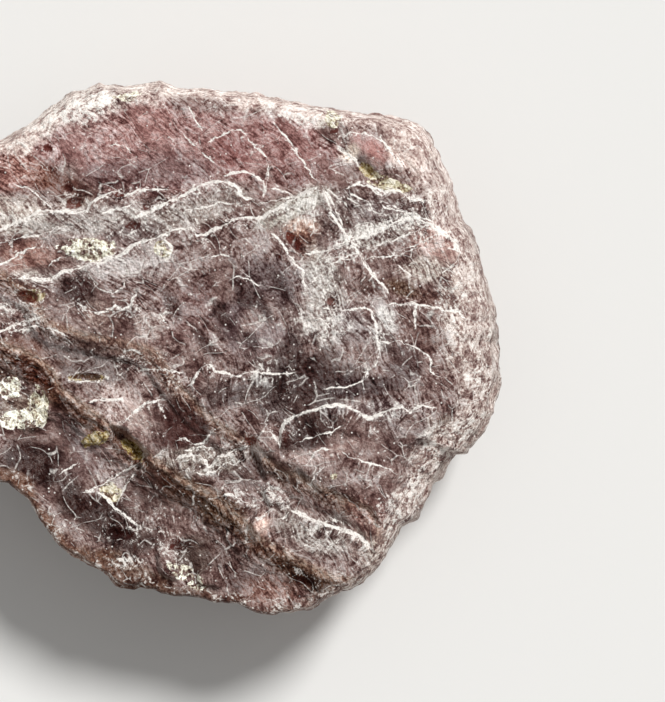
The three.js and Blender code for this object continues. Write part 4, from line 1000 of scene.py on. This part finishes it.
class Recipe:
    """A material's nodes. Each call adds one node and gives back its output."""

    def __init__(self, name):
        self.material = bpy.data.materials.new(name)
        self.material.use_nodes = True
        self.tree = self.material.node_tree
        self.surface = self.tree.nodes["Principled BSDF"]

    def node(self, kind, settings, values, out=0):
        """Adds a node of a kind, makes its settings, then fills or links its sockets."""
        made = self.tree.nodes.new(kind)
        for name, setting in settings.items():
            setattr(made, name, setting)
        for socket, value in values.items():
            entry = made.inputs[socket]
            if isinstance(value, Shade):
                self.tree.links.new(value.socket, entry)
            elif isinstance(value, tuple):
                entry.default_value = value[: len(entry.default_value)]
            else:
                entry.default_value = value
        return Shade(self, made.outputs[out])

    def math(self, operation, first, second=0.0):
        """A sum, product or other operation on one or two values."""
        return self.node("ShaderNodeMath", {"operation": operation}, {0: first, 1: second})

    def rise(self, value, low, high):
        """0 where the value is at low, 1 where it is at high, smooth between."""
        return self.node(
            "ShaderNodeMapRange", {"interpolation_type": "SMOOTHSTEP"}, {0: value, 1: low, 2: high}
        )

    def mixed(self, share, first, second):
        """From the first colour at 0 to the second at 1."""
        return self.node("ShaderNodeMix", {"data_type": "RGBA"}, {0: share, 6: first, 7: second}, 2)

    def scaled(self, base, share):
        """A colour made lighter or darker."""
        return self.node("ShaderNodeVectorMath", {"operation": "SCALE"}, {0: base, 3: share})

    def tinted(self, base, by):
        """A colour multiplied by another."""
        return self.node("ShaderNodeVectorMath", {"operation": "MULTIPLY"}, {0: base, 1: by})

    def stretched(self, where, turn, along, across):
        """Coordinates in which a pattern of unit size runs long in one direction."""
        return self.node(
            "ShaderNodeMapping",
            {"vector_type": "TEXTURE"},
            {0: where, 2: (0, 0, math.radians(turn)), 3: (along, across, across)},
        )

    def cloud(self, where, size, detail):
        """Smooth noise with features of the given size in millimetres. Its values centre on 0
        and spread about 1 either way."""
        fog = self.node("ShaderNodeTexNoise", {}, {0: where, 2: 1 / size, 3: detail, 4: 0.55})
        return self.node(
            "ShaderNodeMath", {"operation": "MULTIPLY_ADD"}, {0: fog, 1: 15.0, 2: -7.45}
        )

    def varied(self, base, depth):
        """A colour turned darker and redder the further the depth lies below 0, and frosted over
        the further it lies above."""
        below = self.math("MINIMUM", depth, 0.0)
        red = self.math("POWER", 2.0, below * 1.5)
        rest = self.math("POWER", 2.0, below * 1.95)
        deep = self.tinted(base, self.node("ShaderNodeCombineXYZ", {}, {0: red, 1: rest, 2: rest}))
        pale = self.node("ShaderNodeHueSaturation", {}, {1: 0.45, 2: 1.9, 4: base})
        return self.mixed((depth * 0.6).held(), deep, pale)

    def shards(self, where, turn, along, across, half_width):
        """Long cells lying one way: the thin borders between them as straight fine cracks, and
        a tone for each, from -1 to 1."""
        cells = self.stretched(where, turn, along, across)
        edge = self.node("ShaderNodeTexVoronoi", {"feature": "DISTANCE_TO_EDGE"}, {0: cells, 2: 1.0})
        dice = self.split(self.node("ShaderNodeTexVoronoi", {}, {0: cells, 2: 1.0}, 1))[0]
        return self.rise(edge, 2 * half_width, 0.4 * half_width), dice * 2.0 - 1.0

    def blend(self, share, first, second):
        """From the first value at 0 to the second at 1."""
        return self.node("ShaderNodeMix", {}, {0: share, 2: first, 3: second})

    def stored(self, name, out=1):
        """What the mesh holds under a name: a vector, or with out=0 a colour."""
        return self.node("ShaderNodeAttribute", {"attribute_name": name}, {}, out)

    def split(self, vector):
        """A vector's three values."""
        parts = self.node("ShaderNodeSeparateXYZ", {}, {0: vector})
        return [Shade(self, output) for output in parts.socket.node.outputs]

    def feed(self, socket, value):
        """Gives the surface a plain value or links one to it."""
        if isinstance(value, Shade):
            self.tree.links.new(value.socket, self.surface.inputs[socket])
        else:
            self.surface.inputs[socket].default_value = value


def colour(red, green, blue):
    """A paint as a node's four numbers."""
    return (*paint(red, green, blue), 1.0)


def ruby_stone(layers):
    """Greyed rose to wine stone in tones of long shards, fibrous and finely cracked, with white crests
    that are partly frost and partly painted highlight, lacy frost on the scales, painted glints, a
    granular rim, brown stain in the ledges, painted shade in the hollows and green and cream mica in the
    grooves."""
    r = Recipe("rough_ruby")
    metres = r.node("ShaderNodeTexCoord", {}, {}, 3)
    plain = r.node("ShaderNodeMapping", {}, {0: metres, 3: (1000, 1000, 1000)})
    bend = r.node("ShaderNodeTexNoise", {}, {0: plain, 2: 0.6, 3: 3.0}, 1)
    where = r.node(
        "ShaderNodeVectorMath", {"operation": "MULTIPLY_ADD"}, {0: bend, 1: (1.6, 1.6, 1.6), 2: plain}
    )
    bow = r.node("ShaderNodeTexNoise", {}, {0: plain, 2: 0.22, 3: 1.0}, 1)
    bowed = r.node(
        "ShaderNodeVectorMath", {"operation": "MULTIPLY_ADD"}, {0: bow, 1: (3.0, 3.0, 3.0), 2: plain}
    )
    tint = r.tinted(r.stored("tint", 0), (0.98, 0.92, 0.89))
    frost, crust, stain = r.split(r.stored("marks"))
    mica, olive, hollow_shade = r.split(r.stored("spots"))
    along, away, fan = r.split(r.stored("fan"))
    coarse, calm, _ = r.split(r.stored("grain"))
    x, y, _ = r.split(plain)
    frost_and_highlight_white = colour(*FROST_AND_HIGHLIGHT_WHITE)

    # Streaks at two leans, changing over from the left to the right of the face, with others
    # across them and some that fan out from the crests; fine pale fibrils along all of them.
    clouds = r.cloud(plain, 2.4, 2)
    blotches = r.cloud(where, 0.9, 3)
    specks = r.cloud(plain, 0.28, 2)
    gentle = r.cloud(r.stretched(bowed, -38, 2.8, 0.26), 1.0, 3)
    steep = r.cloud(r.stretched(bowed, -64, 2.8, 0.26), 1.0, 3)
    cross = r.cloud(r.stretched(bowed, 44, 2.2, 0.22), 1.0, 3)
    level = r.cloud(r.stretched(bowed, -8, 2.0, 0.22), 1.0, 2)
    fanned = r.node("ShaderNodeCombineXYZ", {}, {0: along * 2.6, 1: away * 0.4, 2: 0.0})
    streaks = r.blend(r.rise(x - y + clouds * 3.0, -14.0, 6.0), gentle, steep)
    streaks = r.blend(fan, streaks, r.cloud(fanned, 1.0, 3) * 1.6)
    busy = 1 - calm * 0.75
    fibrils = r.rise(abs(streaks), 0.24, 0.03)
    fibrils = fibrils.over(r.rise(abs(cross), 0.22, 0.03) * 0.8)
    fibrils = fibrils.over(r.rise(abs(level), 0.2, 0.03) * 0.6)
    fibrils = fibrils * r.rise(blotches + clouds * 0.6, -1.4, 1.2) * busy
    rising, rising_tone = r.shards(bowed, 27, 5.2, 2.0, 0.014)
    falling, falling_tone = r.shards(bowed, -50, 5.6, 1.8, 0.014)
    plates = rising_tone * 0.3 + falling_tone * 0.34
    fine = blotches * 0.2 + streaks * 0.38 + cross * 0.16 + specks * 0.2
    depth = (clouds * 0.2 + plates) * (1 - calm * 0.5) + fine * (0.9 + falling_tone * 0.45) * busy
    body = r.varied(tint, depth * 1.15 - 0.04)
    body = r.mixed(fibrils * 0.6, body, r.mixed(0.22, r.scaled(tint, 1.6), frost_and_highlight_white))

    # The granular rim: pale chips, brown hollows between pale lumps darkened as painted shade, and thin
    # parting lines round the sides.
    partings = r.cloud(r.node("ShaderNodeMapping", {}, {0: where, 3: (0.35, 0.35, 2.6)}), 1.0, 3)
    grit = r.cloud(plain, 0.6, 3)
    cells = r.node("ShaderNodeTexVoronoi", {}, {0: where, 2: 1.6}, 1)
    flake = r.split(cells)[0]
    # Painted shade: darker the further from a lump's middle, between the pale lumps.
    shade_between_lumps = r.node("ShaderNodeTexVoronoi", {}, {0: where, 2: 0.8})
    chips = blotches * 0.4 + cross * 0.2 + grit * 0.35 + specks * 0.3 + flake * 0.5 - shade_between_lumps * 3.0 + 0.95
    wrinkles = clouds * 0.14 + blotches * 0.14 + partings * 0.3 + cross * 0.12 + specks * 0.12
    crumb = r.varied(tint, r.blend(coarse, wrinkles, chips))
    caked = r.rise(specks * 0.4 + blotches * 0.4 + clouds * 0.3 + coarse, 1.1, 2.1)
    crumb = r.mixed(caked * 0.7, crumb, frost_and_highlight_white)
    ridges = r.rise(abs(partings + cross * 0.4), 0.22, 0.03) * r.rise(blotches, -1.0, 0.8)
    crumb = r.mixed(ridges * 0.5 * (1 - coarse * 0.6), crumb, frost_and_highlight_white)
    body = r.mixed((crust * (0.9 + clouds * 0.25)).held(), body, crumb)

    # Brown stain, green and cream mica, and painted shade in the hollows and pits.
    rust = r.varied(r.tinted(tint, (1.04, 0.97, 0.9)), depth * 1.5 + specks * 0.2)
    body = r.mixed((stain * (0.9 + 0.25 * grit)).held(), body, rust)
    leaf = r.mixed(olive, colour(*CREAM_MICA), colour(*OLIVE_MICA))
    leaf = r.varied(leaf, flake * 2.2 - 1.1 + specks * 0.4 + grit * 0.3)
    leafy = r.rise(mica * (0.8 + 0.5 * flake + 0.25 * grit + 0.3 * blotches), 0.3, 0.42)
    body = r.mixed(leafy, body, leaf)
    sunk_shade = r.rise(hollow_shade * (1.0 + 0.3 * grit + 0.2 * specks + 0.2 * blotches), 0.35, 0.65)
    body = r.mixed(sunk_shade * 0.92, body, r.tinted(tint, (0.3, 0.085, 0.065)))

    # Lacy frost, hairlines, tiny painted glints of light, and the crests, partly frost and partly painted
    # highlight.
    lace = r.cloud(where, 0.4, 4)
    veil = lace * 0.24 + streaks * 0.16 + cross * 0.12 + blotches * 0.14 + specks * 0.1 + frost * 1.45
    veil = ((veil - 0.95) * 1.7).held() * 0.85
    curls = r.cloud(where, 0.8, 2)
    threads = r.rise(abs(curls), 0.17, 0.04) * r.rise(frost + specks * 0.06 + clouds * 0.08, 0.2, 0.55)
    veil = veil.over(threads * 0.8)
    net = rising * r.rise(clouds, 0.4, 1.2)
    net = net.over(falling * r.rise(clouds, -0.4, -1.2))
    weight = r.rise(r.cloud(plain, 1.3, 1), -1.2, 0.8)
    wobble = blotches * 0.04 + grit * 0.025
    line = net * busy * 0.5
    # The crests' white strokes: partly frosty edges, partly painted highlight of edges facing the key light.
    for number in range(layers):
        gap, half_width, _ = r.split(r.stored(f"crest_{number}"))
        stroke = half_width * (0.5 + 0.85 * weight)
        line = line.over(((stroke - abs(gap + wobble)) * 20).held())
    line = (line * (0.95 + 0.2 * specks)).held()
    # Painted glints: tiny white specks that stand in for sparkles of the key light on the stone.
    dots = r.node("ShaderNodeTexVoronoi", {}, {0: plain, 2: 1.9})
    dice = r.split(r.node("ShaderNodeTexVoronoi", {}, {0: plain, 2: 1.9}, 1))[0]
    painted_glint = r.rise(dots, 0.22, 0.1) * r.rise(dice, 0.8, 0.86) * 0.85
    # White over the body: frost, crests that are partly painted highlight, and painted glints, less where
    # hollows hold painted shade.
    white = (veil.over(line).over(painted_glint) * (1 - sunk_shade * 0.7)).held()
    body = r.mixed(white, body, frost_and_highlight_white)
    r.feed("Base Color", body)

    r.feed("Roughness", (0.4 + white * 0.3 + crust * 0.2 + clouds * 0.04).held())
    r.feed("Specular IOR Level", 0.08)
    relief = specks * 0.4 + grit * 0.6
    bump = r.node("ShaderNodeBump", {}, {"Strength": 0.6, "Distance": 0.00008, "Height": relief})
    r.feed("Normal", bump)
    return r.material


def crystal():
    """The crystal as one mesh with its colouring and its stone."""
    points, faces, triangles, crests = crystal_shape()
    mesh = bpy.data.meshes.new("crystal")
    mesh.from_pydata((points / 1000).tolist(), [], faces.tolist() + triangles.tolist())
    mesh.polygons.foreach_set("use_smooth", np.ones(len(mesh.polygons), bool))
    face_count = (FACE_CELLS + 1) ** 2
    layers = colour_points(mesh, points, crests, face_count)
    mesh.materials.append(ruby_stone(layers))
    made = bpy.data.objects.new("crystal", mesh)
    bpy.context.scene.collection.objects.link(made)
    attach(made, "root")
    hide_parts("ruby_crystal")


def floor():
    """A wide pale floor."""
    mesh = bpy.data.meshes.new("floor")
    signs = [(-1, -1), (1, -1), (1, 1), (-1, 1)]
    corners = [(FLOOR_REACH * x, FLOOR_REACH * y, 0) for x, y in signs]
    mesh.from_pydata(corners, [], [(0, 1, 2, 3)])
    r = Recipe("pale_floor")
    r.feed("Base Color", colour(*PALE_FLOOR))
    r.feed("Roughness", 0.8)
    mesh.materials.append(r.material)
    made = bpy.data.objects.new("floor", mesh)
    bpy.context.scene.collection.objects.link(made)


def lights():
    """A soft key from beyond the upper right of the drawing, and an even pale surround."""
    key = bpy.data.lights.new("key", "SUN")
    key.energy = KEY_STRENGTH
    key.angle = math.radians(KEY_SPREAD)
    made = bpy.data.objects.new("key", key)
    made.rotation_euler = [math.radians(turn) for turn in KEY_TURN]
    bpy.context.scene.collection.objects.link(made)
    world = bpy.data.worlds.new("surround")
    world.use_nodes = True
    world.node_tree.nodes["Background"].inputs["Color"].default_value = (1, 1, 1, 1)
    world.node_tree.nodes["Background"].inputs["Strength"].default_value = SURROUND_STRENGTH
    bpy.context.scene.world = world
    bpy.context.scene.view_settings.view_transform = "Standard"


def eye():
    """The camera straight above the drawing's middle, as far away as the drawing's eye."""
    camera = bpy.data.cameras.new("eye")
    camera.sensor_width = SENSOR_WIDTH
    camera.lens = SENSOR_WIDTH * EYE_DISTANCE / DRAWING_HEIGHT
    camera.clip_start = 0.01
    made = bpy.data.objects.new("eye", camera)
    x, y = on_face([DRAWING_MIDDLE])[0]
    made.location = (x / 1000, y / 1000, (EYE_DISTANCE + FACE_HEIGHT) / 1000)
    bpy.context.scene.collection.objects.link(made)
    bpy.context.scene.camera = made


crystal()
floor()
lights()
eye()
